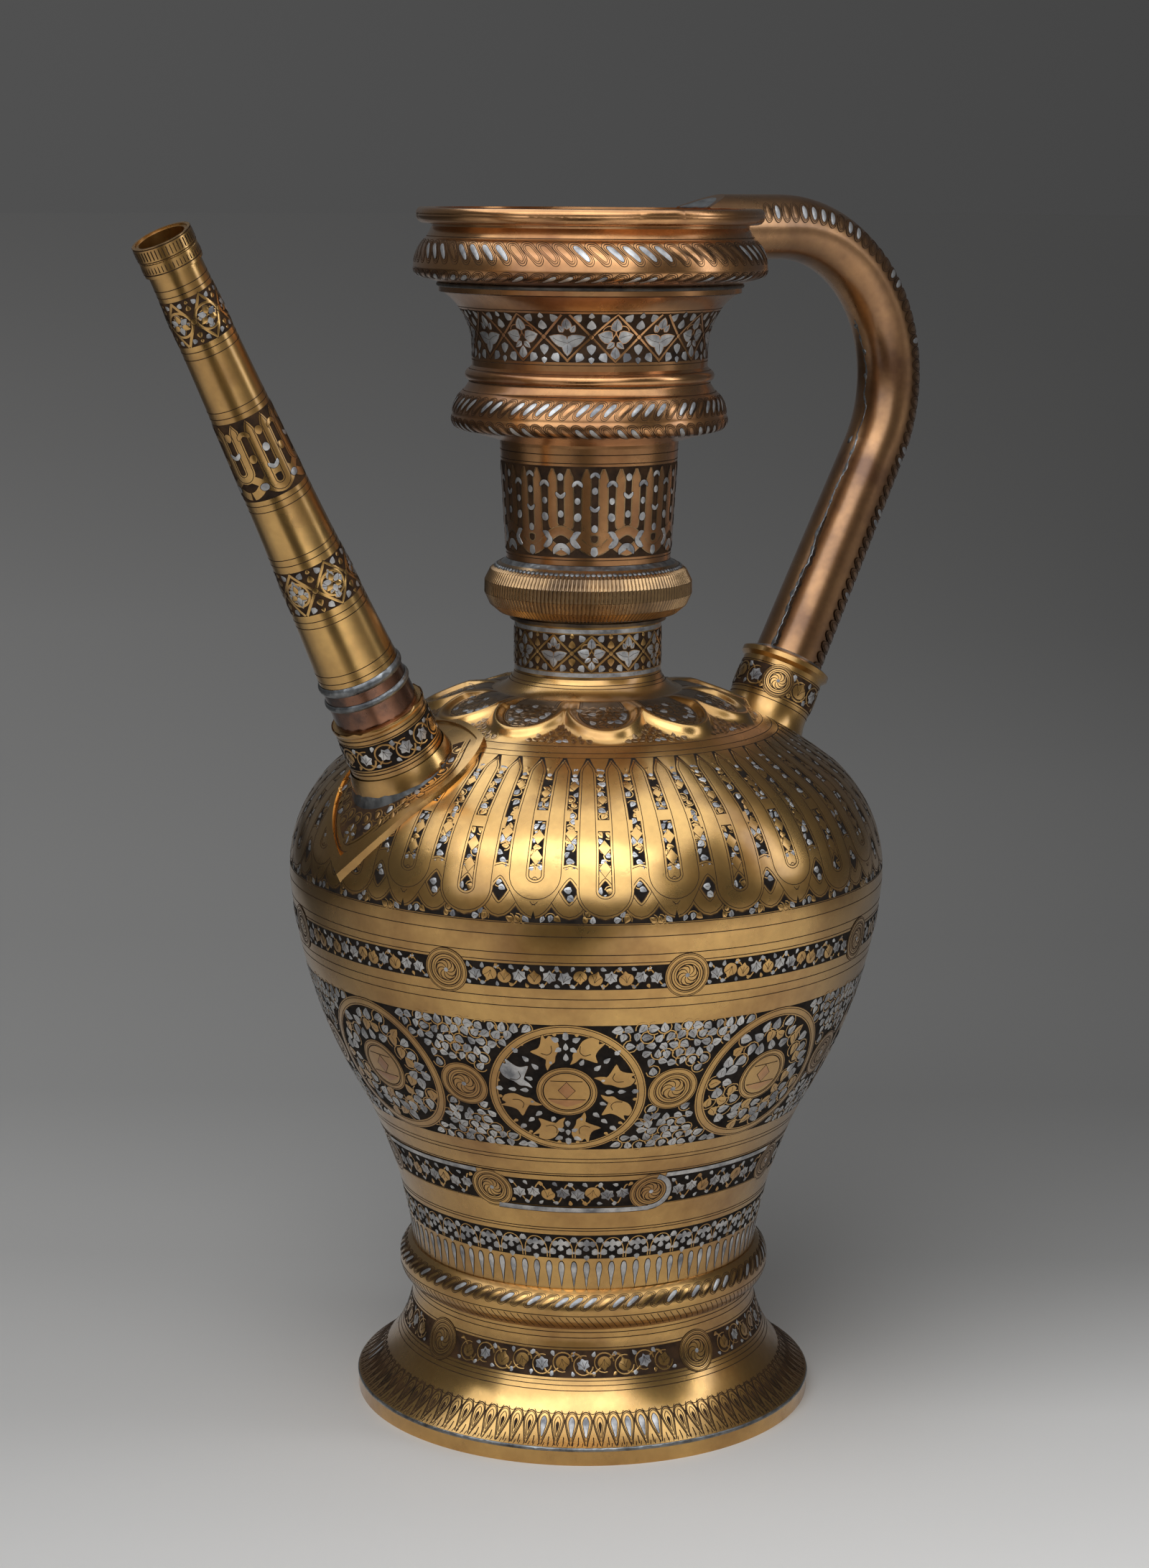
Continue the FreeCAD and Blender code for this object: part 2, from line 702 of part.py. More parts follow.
outer_shield = shield("outer_shield", ZERO)
inner_shield = shield("inner_shield", size("plate_lip_width"))
plate_bore = sleeve_radius_at(ZERO) + gap
plate_hole = primitive("Cylinder", "plate_hole", spout_frame * FreeCAD.Placement(
    FreeCAD.Vector(0, 0, -overrun.number), FreeCAD.Rotation()),
    Radius=plate_bore + size("plate_thickness") * sleeve_slope, Height=overrun * 2)
plate_face = boolean("Common", "plate_face", plate_envelope, outer_shield)
border_blank = boolean("Common", "border_blank", lip_envelope, outer_shield)
border = boolean("Cut", "plate_border", border_blank, inner_shield)
plate_solid = boolean("Fuse", "plate_solid", plate_face, border)
node("spout_escutcheon", boolean("Cut", "spout_escutcheon", plate_solid, body_envelope, plate_hole))

# Handle: a level run over the rim, a round bend and a straight leg that widens to its root
lean = math.radians(size("handle_tilt").number)
bend_radius = size("handle_bend")
handle_axis_height = rim_top + size("tongue_rise") - size("handle_radius")
bend_height = handle_axis_height - bend_radius
leg_rise = bend_height.number - bend_radius.number * math.sin(lean) - handle_frame.Base.z
leg_length = leg_rise / math.cos(lean)
bend_reach = handle_frame.Base.x + leg_length * math.sin(lean) - bend_radius.number * math.cos(lean)
bend_centre = FreeCAD.Vector(bend_reach, 0, bend_height.number)
level_start = FreeCAD.Vector(bend_reach, 0, handle_axis_height.number)
bend_turn = FreeCAD.Rotation(FreeCAD.Vector(0, 0, 1), FreeCAD.Vector(1, 0, 0),
                             FreeCAD.Vector(0, 1, 0), "XYZ")
inwards = FreeCAD.Rotation(FreeCAD.Vector(0, 0, 1), FreeCAD.Vector(-1, 0, 0))
tongue_end = lip_throat.number + size("lip_height").number - size("tongue_reach").number


def handle_rod(name, inset, level_end):
    """The handle's solid rod, drawn in by the inset, from its root to its level end."""
    radius = size("handle_radius") - inset
    root = size("handle_root_radius") - inset
    level = doc.addObject("Part::Cylinder", name + "_level")
    level.setExpression("Radius", radius.formula)
    level.Height = bend_reach - level_end
    level.Placement = FreeCAD.Placement(level_start, inwards)
    bend = doc.addObject("Part::Torus", name + "_bend")
    bend.setExpression("Radius1", bend_radius.formula)
    bend.setExpression("Radius2", radius.formula)
    bend.Angle3 = math.degrees(lean) + 90
    bend.Placement = FreeCAD.Placement(bend_centre, bend_turn)
    leg = doc.addObject("Part::Cone", name + "_leg")
    leg.setExpression("Radius1", root.formula)
    leg.setExpression("Radius2", radius.formula)
    leg.Height = leg_length + overrun.number
    leg.Placement = handle_frame * FreeCAD.Placement(
        FreeCAD.Vector(0, 0, -overrun.number), FreeCAD.Rotation())
    rod = doc.addObject("Part::MultiFuse", name)
    rod.Shapes = [level, bend, leg]
    return rod


tongue_drop = math.atan2(size("tongue_rise").number - size("tongue_edge").number,
                         size("tongue_reach").number)


def tongue_trim(name):
    """A block that slopes the tongue off towards its end over the rim."""
    edge = FreeCAD.Vector(tongue_end, 0, rim_top.number + size("tongue_edge").number)
    slope = FreeCAD.Rotation(FreeCAD.Vector(0, 1, 0), -math.degrees(tongue_drop))
    centred = FreeCAD.Placement(
        FreeCAD.Vector(-overrun.number, -overrun.number, 0), FreeCAD.Rotation())
    side = overrun * 2
    return primitive("Box", name, FreeCAD.Placement(edge, slope) * centred,
                     Length=side, Width=side, Height=side)


handle_outer = handle_rod("handle_outer", ZERO, tongue_end)
handle_core = handle_rod("handle_core", size("handle_wall"), tongue_end - overrun.number)
trim = tongue_trim("tongue_trim")
node("handle_tube", boolean("Cut", "handle_tube", handle_outer, handle_core, mouth_envelope,
                            body_envelope, trim))

# Solder that fills the handle's end and holds it on the rim
plug_end = size("ring_radius").number + size("plug_length").number
plug = doc.addObject("Part::Cylinder", "solder_plug")
plug_radius = size("handle_radius") - size("handle_wall")
plug.setExpression("Radius", plug_radius.formula)
plug.Height = plug_end - tongue_end
plug.Placement = FreeCAD.Placement(
    FreeCAD.Vector(plug_end, 0, handle_axis_height.number), inwards)
node("handle_rim_solder", boolean("Cut", "handle_rim_solder", plug, mouth_envelope, trim))

# Socket on the shoulder that holds the handle's foot
leg_taper = (SIZES["handle_root_radius"] - SIZES["handle_radius"]) / (leg_length + overrun.number)


def leg_radius_at(level):
    """Outside radius of the handle's leg at a distance along its axis."""
    return size("handle_root_radius") - (level + overrun) * leg_taper


socket_top = size("socket_length")
lip_low = socket_top - size("socket_lip_height")
flare_low = -size("root_solder_height")
flare_high = lip_low * HALF_SHARE
flare_radius = size("socket_radius") + size("socket_flare")
SOCKET_LIP_SHARES = (0.35, 0.8)
SOCKET_FLARE_SHARES = (0.2, 0.4)
socket_outline = ((flare_radius, -overrun), [
    ("line", (flare_radius, flare_low)),
    ("arc", (between(size("socket_radius"), flare_radius, SOCKET_FLARE_SHARES[0]),
             between(flare_low, flare_high, SOCKET_FLARE_SHARES[1])),
     (size("socket_radius"), flare_high)),
    ("line", (size("socket_radius"), lip_low)),
    ("line", (size("socket_lip_radius"), between(lip_low, socket_top, SOCKET_LIP_SHARES[0]))),
    ("line", (size("socket_lip_radius"), between(lip_low, socket_top, SOCKET_LIP_SHARES[1]))),
    ("line", (size("socket_radius"), socket_top)),
    ("line", (leg_radius_at(socket_top) + gap, socket_top)),
    ("line", (leg_radius_at(-overrun) + gap, -overrun)),
    ("line", (flare_radius, -overrun))])
socket_blank = turned("socket_blank", socket_outline)
socket_blank.Placement = handle_frame
node("handle_socket", boolean("Cut", "handle_socket", socket_blank, body_envelope))
solder_seat = leg_radius_at(socket_top) + gap
socket_solder_outline = ((solder_seat, socket_top), [
    ("line", (size("socket_radius"), socket_top)),
    ("line", (solder_seat, socket_top + size("socket_solder"))),
    ("line", (solder_seat, socket_top))])
socket_solder = turned("handle_socket_solder", socket_solder_outline)
socket_solder.Placement = handle_frame
node("handle_socket_solder", socket_solder)

doc.recompute()
for item in doc.Objects:
    if "Invalid" in item.State or "Error" in item.State:
        raise RuntimeError("failed object: %s %s" % (item.Name, item.State))
for name, piece in nodes.items():
    shape = piece.Shape
    if shape.isNull() or not shape.isValid() or shape.Volume <= 0:
        raise RuntimeError("bad shape: " + name)
    shape.exportStep("parts/%s.step" % name)
    box = shape.optimalBoundingBox(False)
    print("%-22s solids %d  volume %10.1f  z %7.2f..%7.2f  x %7.2f..%7.2f" % (
        name, len(shape.Solids), shape.Volume, box.ZMin, box.ZMax, box.XMin, box.XMax))
print("spout root", spout_frame.Base, "handle root", handle_frame.Base, "leg", leg_length)
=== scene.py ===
"""The looks of an inlaid brass ewer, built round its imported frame. Lengths are millimetres until they
are laid down, angles are degrees, and heights are counted from the floor the ewer stands on."""
import math
import bpy
import numpy as np
from mathutils import Matrix, Vector
from mathutils.bvhtree import BVHTree


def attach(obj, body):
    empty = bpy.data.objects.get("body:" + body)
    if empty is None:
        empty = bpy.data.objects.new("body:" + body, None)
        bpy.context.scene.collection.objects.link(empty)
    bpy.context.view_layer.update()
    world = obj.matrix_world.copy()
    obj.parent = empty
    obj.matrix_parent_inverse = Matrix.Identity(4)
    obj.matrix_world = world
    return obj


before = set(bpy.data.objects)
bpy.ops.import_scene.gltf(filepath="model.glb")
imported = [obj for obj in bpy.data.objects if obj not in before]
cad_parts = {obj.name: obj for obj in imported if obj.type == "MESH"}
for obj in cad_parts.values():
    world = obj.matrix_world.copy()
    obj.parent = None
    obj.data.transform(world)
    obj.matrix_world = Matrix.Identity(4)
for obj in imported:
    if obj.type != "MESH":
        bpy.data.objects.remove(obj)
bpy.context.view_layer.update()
MM = 0.001

# The camera stands in front of the ewer at table height and looks a little down on it.
# The spout leans out to the left and comes nearer, and the handle goes back to the right.
VIEW_TURN = -128.0
CAMERA_REACH = 1228.0
CAMERA_HEIGHT = 484.8
CAMERA_PITCH = 10.85
CAMERA_ROLL = 0.41
camera_data = bpy.data.cameras.new("camera")
camera_data.lens = 72.04
camera_data.sensor_width = 36.0
camera_data.shift_x = -0.0078
camera = bpy.data.objects.new("camera", camera_data)
bpy.context.scene.collection.objects.link(camera)
bpy.context.scene.camera = camera
view_angle = math.radians(VIEW_TURN)
camera.location = Vector((
    CAMERA_REACH * math.cos(view_angle), CAMERA_REACH * math.sin(view_angle), CAMERA_HEIGHT)) * MM
level_look = Matrix.Rotation(view_angle + math.pi / 2, 4, "Z") @ Matrix.Rotation(math.pi / 2, 4, "X")
camera.matrix_world = (
    Matrix.Translation(camera.location) @ level_look
    @ Matrix.Rotation(-math.radians(CAMERA_PITCH), 4, "X")
    @ Matrix.Rotation(math.radians(CAMERA_ROLL), 4, "Z"))


# The studio: a pale matt floor, a grey backdrop and soft lamps. The floor's colour is painted with light and
# shade that follow fixed places on it, laid out for the camera's distance, and its painted dark and bright
# parts in front are there for the metal to mirror.
def linear(red, green, blue):
    """The linear colour of a display colour from 0 to 255."""
    return tuple((channel / 255.0) ** 2.2 for channel in (red, green, blue)) + (1.0,)


def wire(tree, *pairs):
    """Link node sockets given as (from, to) pairs."""
    for source, target in pairs:
        tree.links.new(source, target)


def node_of(tree, kind, **settings):
    """A new node of the kind, with its inputs or properties set by name."""
    node = tree.nodes.new("ShaderNode" + kind)
    for key, value in settings.items():
        name = key.replace("_", " ")
        if name in node.inputs:
            node.inputs[name].default_value = value
        else:
            setattr(node, key, value)
    return node


def feed(tree, socket, term):
    """Link a socket to the input, or set the input to a plain number."""
    if isinstance(term, bpy.types.NodeSocket):
        tree.links.new(term, socket)
    else:
        socket.default_value = term


def calc(tree, operation, *terms):
    """The result of a sum on sockets or plain numbers."""
    node = node_of(tree, "Math", operation=operation)
    for socket, term in zip(node.inputs, terms):
        feed(tree, socket, term)
    return node.outputs[0]


def spread(tree, value, from_low, from_high, to_low, to_high):
    """A value carried from one range to another, held at the ends."""
    node = node_of(tree, "MapRange", From_Min=from_low, From_Max=from_high)
    for name, term in (("Value", value), ("To Min", to_low), ("To Max", to_high)):
        feed(tree, node.inputs[name], term)
    return node.outputs["Result"]


def along(tree, position, way):
    """How far a position lies along a direction."""
    node = node_of(tree, "VectorMath", operation="DOT_PRODUCT")
    tree.links.new(position, node.inputs[0])
    node.inputs[1].default_value = way
    return node.outputs["Value"]


def ramp(tree, value, stops):
    """A grey level read off a run of stops."""
    node = node_of(tree, "ValToRGB")
    made = node.color_ramp.elements
    made.remove(made[-1])
    made[0].position, made[0].color = stops[0][0], (stops[0][1],) * 3 + (1,)
    for position, level in stops[1:]:
        made.new(position).color = (level, level, level, 1)
    tree.links.new(value, node.inputs["Fac"])
    return node.outputs["Color"]


FLOOR_REACH = 40.0
FLOOR_PAINTED_FADE = ((0.0, 0.40), (0.05, 0.42), (0.13, 0.465), (0.19, 0.48), (0.24, 0.48), (0.29, 0.47),
              (0.395, 0.41), (0.5, 0.345), (0.61, 0.32), (0.726, 0.43), (0.84, 0.69), (0.945, 0.83),
              (1.0, 0.87))
FLOOR_PAINTED_LEAN = ((0.0, 0.27), (0.1, 0.34), (0.19, 0.38), (0.29, 0.41), (0.395, 0.335), (0.61, 0.315),
              (0.726, 0.235), (0.84, 0.02), (1.0, 0.01))
FLOOR_TINT = (1.05, 1.0, 0.93)
LEAN_ZERO = 0.1
SIDE_SLANT = 0.17
floor_mesh = bpy.data.meshes.new("floor")
floor_mesh.from_pydata([(-FLOOR_REACH, -FLOOR_REACH, 0), (FLOOR_REACH, -FLOOR_REACH, 0),
                        (FLOOR_REACH, FLOOR_REACH, 0), (-FLOOR_REACH, FLOOR_REACH, 0)], [], [(0, 1, 2, 3)])
floor = bpy.data.objects.new("floor", floor_mesh)
bpy.context.scene.collection.objects.link(floor)
floor_paint = bpy.data.materials.new("pale_floor")
floor_paint.use_nodes = True
tree = floor_paint.node_tree
shader = tree.nodes["Principled BSDF"]
shader.inputs["Roughness"].default_value = 0.9
shader.inputs["Specular IOR Level"].default_value = 0.1
behind_way = (-math.cos(view_angle), -math.sin(view_angle), 0.0)
right_way = (-math.sin(view_angle), math.cos(view_angle), 0.0)
place = node_of(tree, "TexCoord").outputs["Object"]
behind = along(tree, place, behind_way)
right = along(tree, place, right_way)
depth = calc(tree, "ADD", behind, CAMERA_REACH * MM)
slant = calc(tree, "DIVIDE", right, depth)
nearness = calc(tree, "DIVIDE", 1.0, depth)
# Painted light: the floor's colour is lighter on the left and darker on the right, most in the middle distance
# and hardly at all close to the camera.
lean = calc(tree, "SUBTRACT", ramp(tree, nearness, FLOOR_PAINTED_LEAN), LEAN_ZERO)
side_tilt = calc(tree, "MULTIPLY_ADD", lean, calc(tree, "DIVIDE", slant, -SIDE_SLANT), 1.0)
near_tilt = calc(tree, "MINIMUM", calc(tree, "MAXIMUM", side_tilt, 0.6), 1.45)
distance = node_of(tree, "VectorMath", operation="LENGTH")
tree.links.new(place, distance.inputs[0])
# Painted light and shade for the metal to mirror: beside and behind the ewer, outside the camera's view, the
# floor is painted darker on the left and lighter on the right; in front it is painted lighter, lighter still
# far to the left, and nearly black in a wedge where a camera stand would be.
front = spread(tree, behind, -0.15, 0.3, 1.0, 0.0)
seen = spread(tree, calc(tree, "ABSOLUTE", slant), 0.22, 0.36, 1.0, 0.0)
close = spread(tree, distance.outputs["Value"], 0.3, 0.5, 1.0, 0.0)
clear = calc(tree, "MAXIMUM", calc(tree, "MAXIMUM", front, seen), close)
painted_side_level = spread(tree, right, -0.3, 0.3, 0.2, 1.7)
side = spread(tree, clear, 0.0, 1.0, painted_side_level, 1.0)
painted_front_light = spread(tree, behind, -0.5, -0.2, 1.35, 1.0)
painted_left_light = calc(tree, "MULTIPLY_ADD", front, spread(tree, right, -0.75, -0.35, 0.55, 0.0), 1.0)
stand_half = spread(tree, behind, -0.95, -0.45, 0.33, 0.1)
stand_side = calc(tree, "SUBTRACT", calc(tree, "ABSOLUTE", calc(tree, "ADD", right, 0.1)), stand_half)
stand = calc(tree, "MAXIMUM", spread(tree, stand_side, -0.03, 0.03, 0.0, 1.0),
             spread(tree, behind, -0.5, -0.38, 0.02, 1.0))
# Painted shade: the floor's colour is brightest near the ewer and in front of it, and darker behind it, as the
# light falls off.
shade = ramp(tree, nearness, FLOOR_PAINTED_FADE)
for factor in (near_tilt, side, painted_front_light, painted_left_light, stand):
    shade = calc(tree, "MULTIPLY", shade, factor)
tinted = node_of(tree, "VectorMath", operation="SCALE")
tinted.inputs[0].default_value = FLOOR_TINT
wire(tree, (shade, tinted.inputs["Scale"]), (tinted.outputs["Vector"], shader.inputs["Base Color"]))
floor_mesh.materials.append(floor_paint)

world = bpy.data.worlds.new("studio")
bpy.context.scene.world = world
world.use_nodes = True
tree = world.node_tree
sky = tree.nodes["Background"]
sky.inputs["Color"].default_value = (0.163, 0.17, 0.181, 1.0)
shown = node_of(tree, "Background", Strength=1.0)
rays = node_of(tree, "LightPath")
mirrored = rays.outputs["Is Camera Ray"]
for kind in ("Is Glossy Ray", "Is Transmission Ray"):
    mirrored = calc(tree, "MAXIMUM", mirrored, rays.outputs[kind])
toward = node_of(tree, "TexCoord").outputs["Generated"]
# Painted light: the backdrop seen by the camera and in the metal is lighter on the left than on the right.
paper = node_of(tree, "Mix", data_type="RGBA")
paper_painted_side_light = spread(tree, along(tree, toward, right_way), -0.18, 0.18, 0.0, 1.0)
mixed = node_of(tree, "MixShader")
wire(tree, (paper_painted_side_light, paper.inputs["Factor"]), (paper.outputs["Result"], shown.inputs["Color"]),
     (mirrored, mixed.inputs["Fac"]), (sky.outputs[0], mixed.inputs[1]), (shown.outputs[0], mixed.inputs[2]),
     (mixed.outputs[0], tree.nodes["World Output"].inputs["Surface"]))
paper.inputs["A"].default_value = linear(81, 81, 81)
paper.inputs["B"].default_value = linear(70, 70, 70)


LAMP_COLOUR = (0.95, 1.0, 1.07)


def lamp(name, turn, reach, height, width, tall, power, aim, lights=True, shines=True):
    """A cool soft box, turned about the ewer from the camera's side, aimed at a height on its axis.

    It lights matt things, shines in polished metal, or does both."""
    data = bpy.data.lights.new(name, "AREA")
    data.shape = "RECTANGLE"
    data.size = width
    data.size_y = tall
    data.energy = power
    data.color = LAMP_COLOUR
    box = bpy.data.objects.new(name, data)
    bpy.context.scene.collection.objects.link(box)
    angle = math.radians(VIEW_TURN + turn)
    box.location = (reach * math.cos(angle), reach * math.sin(angle), height)
    box.rotation_euler = (Vector((0, 0, aim)) - box.location).to_track_quat("-Z", "Y").to_euler()
    box.visible_diffuse = lights
    box.visible_glossy = shines


lamp("key_lamp", -20.0, 0.82, 1.42, 1.0, 1.75, 15.5, 0.35, shines=False)
lamp("key_card", -12.0, 1.0, 0.9, 1.8, 0.95, 8.6, 0.35, lights=False)
lamp("top_card", -26.0, 0.3, 1.6, 2.7, 2.2, 26.0, 0.3, lights=False)
lamp("right_lamp", 80.0, 1.3, 0.9, 0.3, 0.9, 2.5, 0.3)
bpy.context.scene.view_settings.view_transform = "Standard"


# The foot is a flared skirt of brass sheet that stands on a plain band, with a bead of solder between.
# Its metals are shared by the whole ewer: brass with dark handling marks, silver, solder and black paste.
def group(name, inputs, outputs):
    """An empty shader group with the named sockets."""
    made = bpy.data.node_groups.new(name, "ShaderNodeTree")
    for socket, kind, value in inputs:
        made.interface.new_socket(socket, in_out="INPUT", socket_type=kind).default_value = value
    for socket, kind in outputs:
        made.interface.new_socket(socket, in_out="OUTPUT", socket_type=kind)
    return made, made.nodes.new("NodeGroupInput"), made.nodes.new("NodeGroupOutput")


def tarnish_group():
    """Metal that darkens in clouds and small spots, and is clean and bright between them."""
    made, given, out = group("tarnish", [
        ("Clean", "NodeSocketColor", (1, 1, 1, 1)), ("Dull", "NodeSocketColor", (0, 0, 0, 1)),
        ("Cloud Size", "NodeSocketFloat", 20.0), ("Spots", "NodeSocketFloat", 0.5),
        ("Low Gloss", "NodeSocketFloat", 0.5), ("High Gloss", "NodeSocketFloat", 0.3),
        ("Dent Size", "NodeSocketFloat", 75.0)],
        [("Color", "NodeSocketColor"), ("Roughness", "NodeSocketFloat"), ("Height", "NodeSocketFloat")])
    place = node_of(made, "TexCoord")
    cloud = node_of(made, "TexNoise", Detail=5.0, Roughness=0.62)
    streak = node_of(made, "TexNoise", Scale=420.0, Detail=3.0, Roughness=0.6)
    spot = node_of(made, "TexNoise", Scale=95.0, Detail=4.0, Roughness=0.7)
    speck = node_of(made, "MapRange", From_Min=0.60, From_Max=0.72)
    cover = node_of(made, "Math", operation="MULTIPLY")
    soft = node_of(made, "MapRange", From_Min=0.36, From_Max=0.66)
    total = node_of(made, "Math", operation="MAXIMUM")
    blend = node_of(made, "Mix", data_type="RGBA")
    dents = node_of(made, "TexNoise", Detail=1.0, Roughness=0.4)
    fine = node_of(made, "MapRange", From_Min=0.3, From_Max=0.7, To_Min=0.95, To_Max=1.04)
    shade = node_of(made, "VectorMath", operation="SCALE")
    gloss = node_of(made, "MapRange")
    pits = node_of(made, "Math", operation="MULTIPLY")
    pits.inputs[1].default_value = -0.12
    bumps = node_of(made, "Math", operation="ADD")
    wire(made,
         *[(place.outputs["Object"], noise.inputs["Vector"]) for noise in (cloud, streak, spot, dents)],
         (given.outputs["Cloud Size"], cloud.inputs["Scale"]),
         (spot.outputs["Fac"], speck.inputs["Value"]), (speck.outputs["Result"], cover.inputs[0]),
         (given.outputs["Spots"], cover.inputs[1]), (cloud.outputs["Fac"], soft.inputs["Value"]),
         (soft.outputs["Result"], total.inputs[0]), (cover.outputs[0], total.inputs[1]),
         (total.outputs[0], blend.inputs["Factor"]), (given.outputs["Clean"], blend.inputs["A"]),
         (given.outputs["Dull"], blend.inputs["B"]), (streak.outputs["Fac"], fine.inputs["Value"]),
         (blend.outputs["Result"], shade.inputs[0]), (fine.outputs["Result"], shade.inputs["Scale"]),
         (shade.outputs["Vector"], out.inputs["Color"]), (total.outputs[0], gloss.inputs["Value"]),
         (given.outputs["High Gloss"], gloss.inputs["To Min"]),
         (given.outputs["Low Gloss"], gloss.inputs["To Max"]),
         (gloss.outputs["Result"], out.inputs["Roughness"]), (dents.outputs["Fac"], bumps.inputs[0]),
         (given.outputs["Dent Size"], dents.inputs["Scale"]),
         (speck.outputs["Result"], pits.inputs[0]),
         (pits.outputs[0], bumps.inputs[1]), (bumps.outputs[0], out.inputs["Height"]))
    blend.inputs["A"].default_value = (1, 1, 1, 1)
    return made


tarnish = tarnish_group()


COAT = 0.9
DENT_DEPTH = 0.0012
SHARP_TURN = 32.0


def metal(name, clean, dull, cloud=18.0, spots=0.5, gloss=(0.2, 0.37), metallic=1.0, bump=0.14,
          dents=75.0):
    """A worked metal with its own tarnish, gloss and hammer marks."""
    made = bpy.data.materials.new(name)
    made.use_nodes = True
    tree = made.node_tree
    shader = tree.nodes["Principled BSDF"]
    shader.inputs["Metallic"].default_value = metallic
    shader.inputs["Coat Weight"].default_value = COAT * metallic
    shader.inputs["Coat Roughness"].default_value = gloss[0]
    wear = tree.nodes.new("ShaderNodeGroup")
    wear.node_tree = tarnish
    for socket, value in (("Clean", linear(*clean)), ("Dull", linear(*dull)), ("Cloud Size", cloud),
                          ("Spots", spots), ("High Gloss", gloss[0]), ("Low Gloss", gloss[1]),
                          ("Dent Size", dents)):
        wear.inputs[socket].default_value = value
    dent = node_of(tree, "Bump", Strength=bump, Distance=DENT_DEPTH)
    wire(tree, (wear.outputs["Color"], shader.inputs["Base Color"]),
         (wear.outputs["Roughness"], shader.inputs["Roughness"]),
         (wear.outputs["Height"], dent.inputs["Height"]), (dent.outputs["Normal"], shader.inputs["Normal"]))
    return made


METALS = {
    "brass": metal("golden_brass", (216, 170, 98), (162, 118, 62)),
    "red_brass": metal("red_brass", (214, 156, 98), (146, 96, 56)),
    "handle_brass": metal("handle_brass", (192, 142, 92), (106, 72, 46), gloss=(0.23, 0.38)),
    "copper": metal("copper_sheet", (140, 92, 64), (58, 40, 32), cloud=60.0, spots=0.8),
    "cord": metal("cord_brass", (184, 146, 98), (112, 86, 56), cloud=40.0),
    "dark_brass": metal("dark_brass", (124, 98, 66), (62, 48, 36), cloud=90.0, gloss=(0.36, 0.52)),
    "silver": metal("tarnished_silver", (212, 209, 205), (116, 116, 119), cloud=130.0, spots=0.4,
                    gloss=(0.42, 0.55), bump=0.05),
    "solder": metal("grey_solder", (142, 144, 144), (52, 52, 53), cloud=110.0, gloss=(0.34, 0.6), bump=0.9,
                    dents=260.0),
    "seat_solder": metal("seat_solder", (112, 112, 111), (40, 39, 38), cloud=150.0, gloss=(0.42, 0.62),
                         bump=1.0, dents=230.0),
    "dark_solder": metal("dark_solder", (84, 78, 70), (34, 31, 28), cloud=140.0, gloss=(0.5, 0.7), bump=0.5,
                         dents=260.0),
    "paste": metal("black_paste", (42, 34, 27), (24, 20, 17), cloud=200.0, gloss=(0.7, 0.85),
                   metallic=0.0, bump=0.2),
    "groove": metal("dark_groove", (72, 50, 29), (38, 27, 18), cloud=150.0, gloss=(0.6, 0.8),
                    metallic=0.1, bump=0.1),
}
for name in ("paste", "groove"):
    METALS[name].node_tree.nodes["Principled BSDF"].inputs["Specular IOR Level"].default_value = 0.15


def dress(metal_name, *nodes):
    """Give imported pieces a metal."""
    for name in nodes:
        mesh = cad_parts[name].data
        mesh.materials.clear()
        mesh.materials.append(METALS[metal_name])
        mesh.polygons.foreach_set("material_index", np.zeros(len(mesh.polygons), np.int32))
        mesh.polygons.foreach_set("use_smooth", np.ones(len(mesh.polygons), bool))
        mesh.set_sharp_from_angle(angle=math.radians(SHARP_TURN))


def make_mesh(name, points, triangles, metal_name):
    """A smooth mesh of triangles that rides with the ewer."""
    mesh = bpy.data.meshes.new(name)
    mesh.vertices.add(len(points))
    mesh.vertices.foreach_set("co", (points * MM).astype(np.float32).ravel())
    mesh.loops.add(3 * len(triangles))
    mesh.loops.foreach_set("vertex_index", triangles.astype(np.int32).ravel())
    mesh.polygons.add(len(triangles))
    mesh.polygons.foreach_set("loop_start", np.arange(len(triangles), dtype=np.int32) * 3)
    mesh.polygons.foreach_set("use_smooth", np.ones(len(triangles), bool))
    mesh.update(calc_edges=True)
    mesh.materials.append(METALS[metal_name])
    piece = bpy.data.objects.new(name, mesh)
    bpy.context.scene.collection.objects.link(piece)
    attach(piece, "root")
    return piece


SKIN_LIFT = 0.1
CORNER_TURN = 20.0
ROW_STEP = 0.6
ROUND_STEPS = 360


def grid_faces(rows, columns, joined=False, first=0):
    """Triangles of a grid of points that is laid down row by row, joined round if asked."""
    index = first + np.arange(rows * columns).reshape(rows, columns)
    if joined:
        index = np.hstack([index, index[:, :1]])
    a, b, c, d = index[:-1, :-1], index[:-1, 1:], index[1:, 1:], index[1:, :-1]
    return np.vstack([np.stack([a, b, c], -1).reshape(-1, 3), np.stack([a, c, d], -1).reshape(-1, 3)])


def solid_of(node, away):
    """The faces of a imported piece, seen from a seat, for rays to meet."""
    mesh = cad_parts[node].data
    return BVHTree.FromPolygons([away @ v.co for v in mesh.vertices],
                                [tuple(face.vertices) for face in mesh.polygons])


def smooth_run(corners):
    """A run of outline points as one even curve that passes through them all."""
    pieces = np.diff(corners, axis=0)
    lengths = np.linalg.norm(pieces, axis=1)
    ways = pieces / lengths[:, None]
    leaving = np.vstack([ways, ways[-1:]]) * np.append(lengths, lengths[-1])[:, None]
    arriving = np.vstack([ways[:1], ways]) * np.insert(lengths, 0, lengths[0])[:, None]
    tangents = leaving + arriving
    tangents /= np.linalg.norm(tangents, axis=1)[:, None]
    curve = []
    for i, length in enumerate(lengths):
        t = np.linspace(0, 1, max(2, int(length / ROW_STEP) + 2))[:, None]
        t = t if i == len(lengths) - 1 else t[:-1]
        curve.append((2 * t**3 - 3 * t**2 + 1) * corners[i] + (t**3 - 2 * t**2 + t) * length * tangents[i]
                     + (3 * t**2 - 2 * t**3) * corners[i + 1] + (t**3 - t**2) * length * tangents[i + 1])
    return np.vstack(curve)


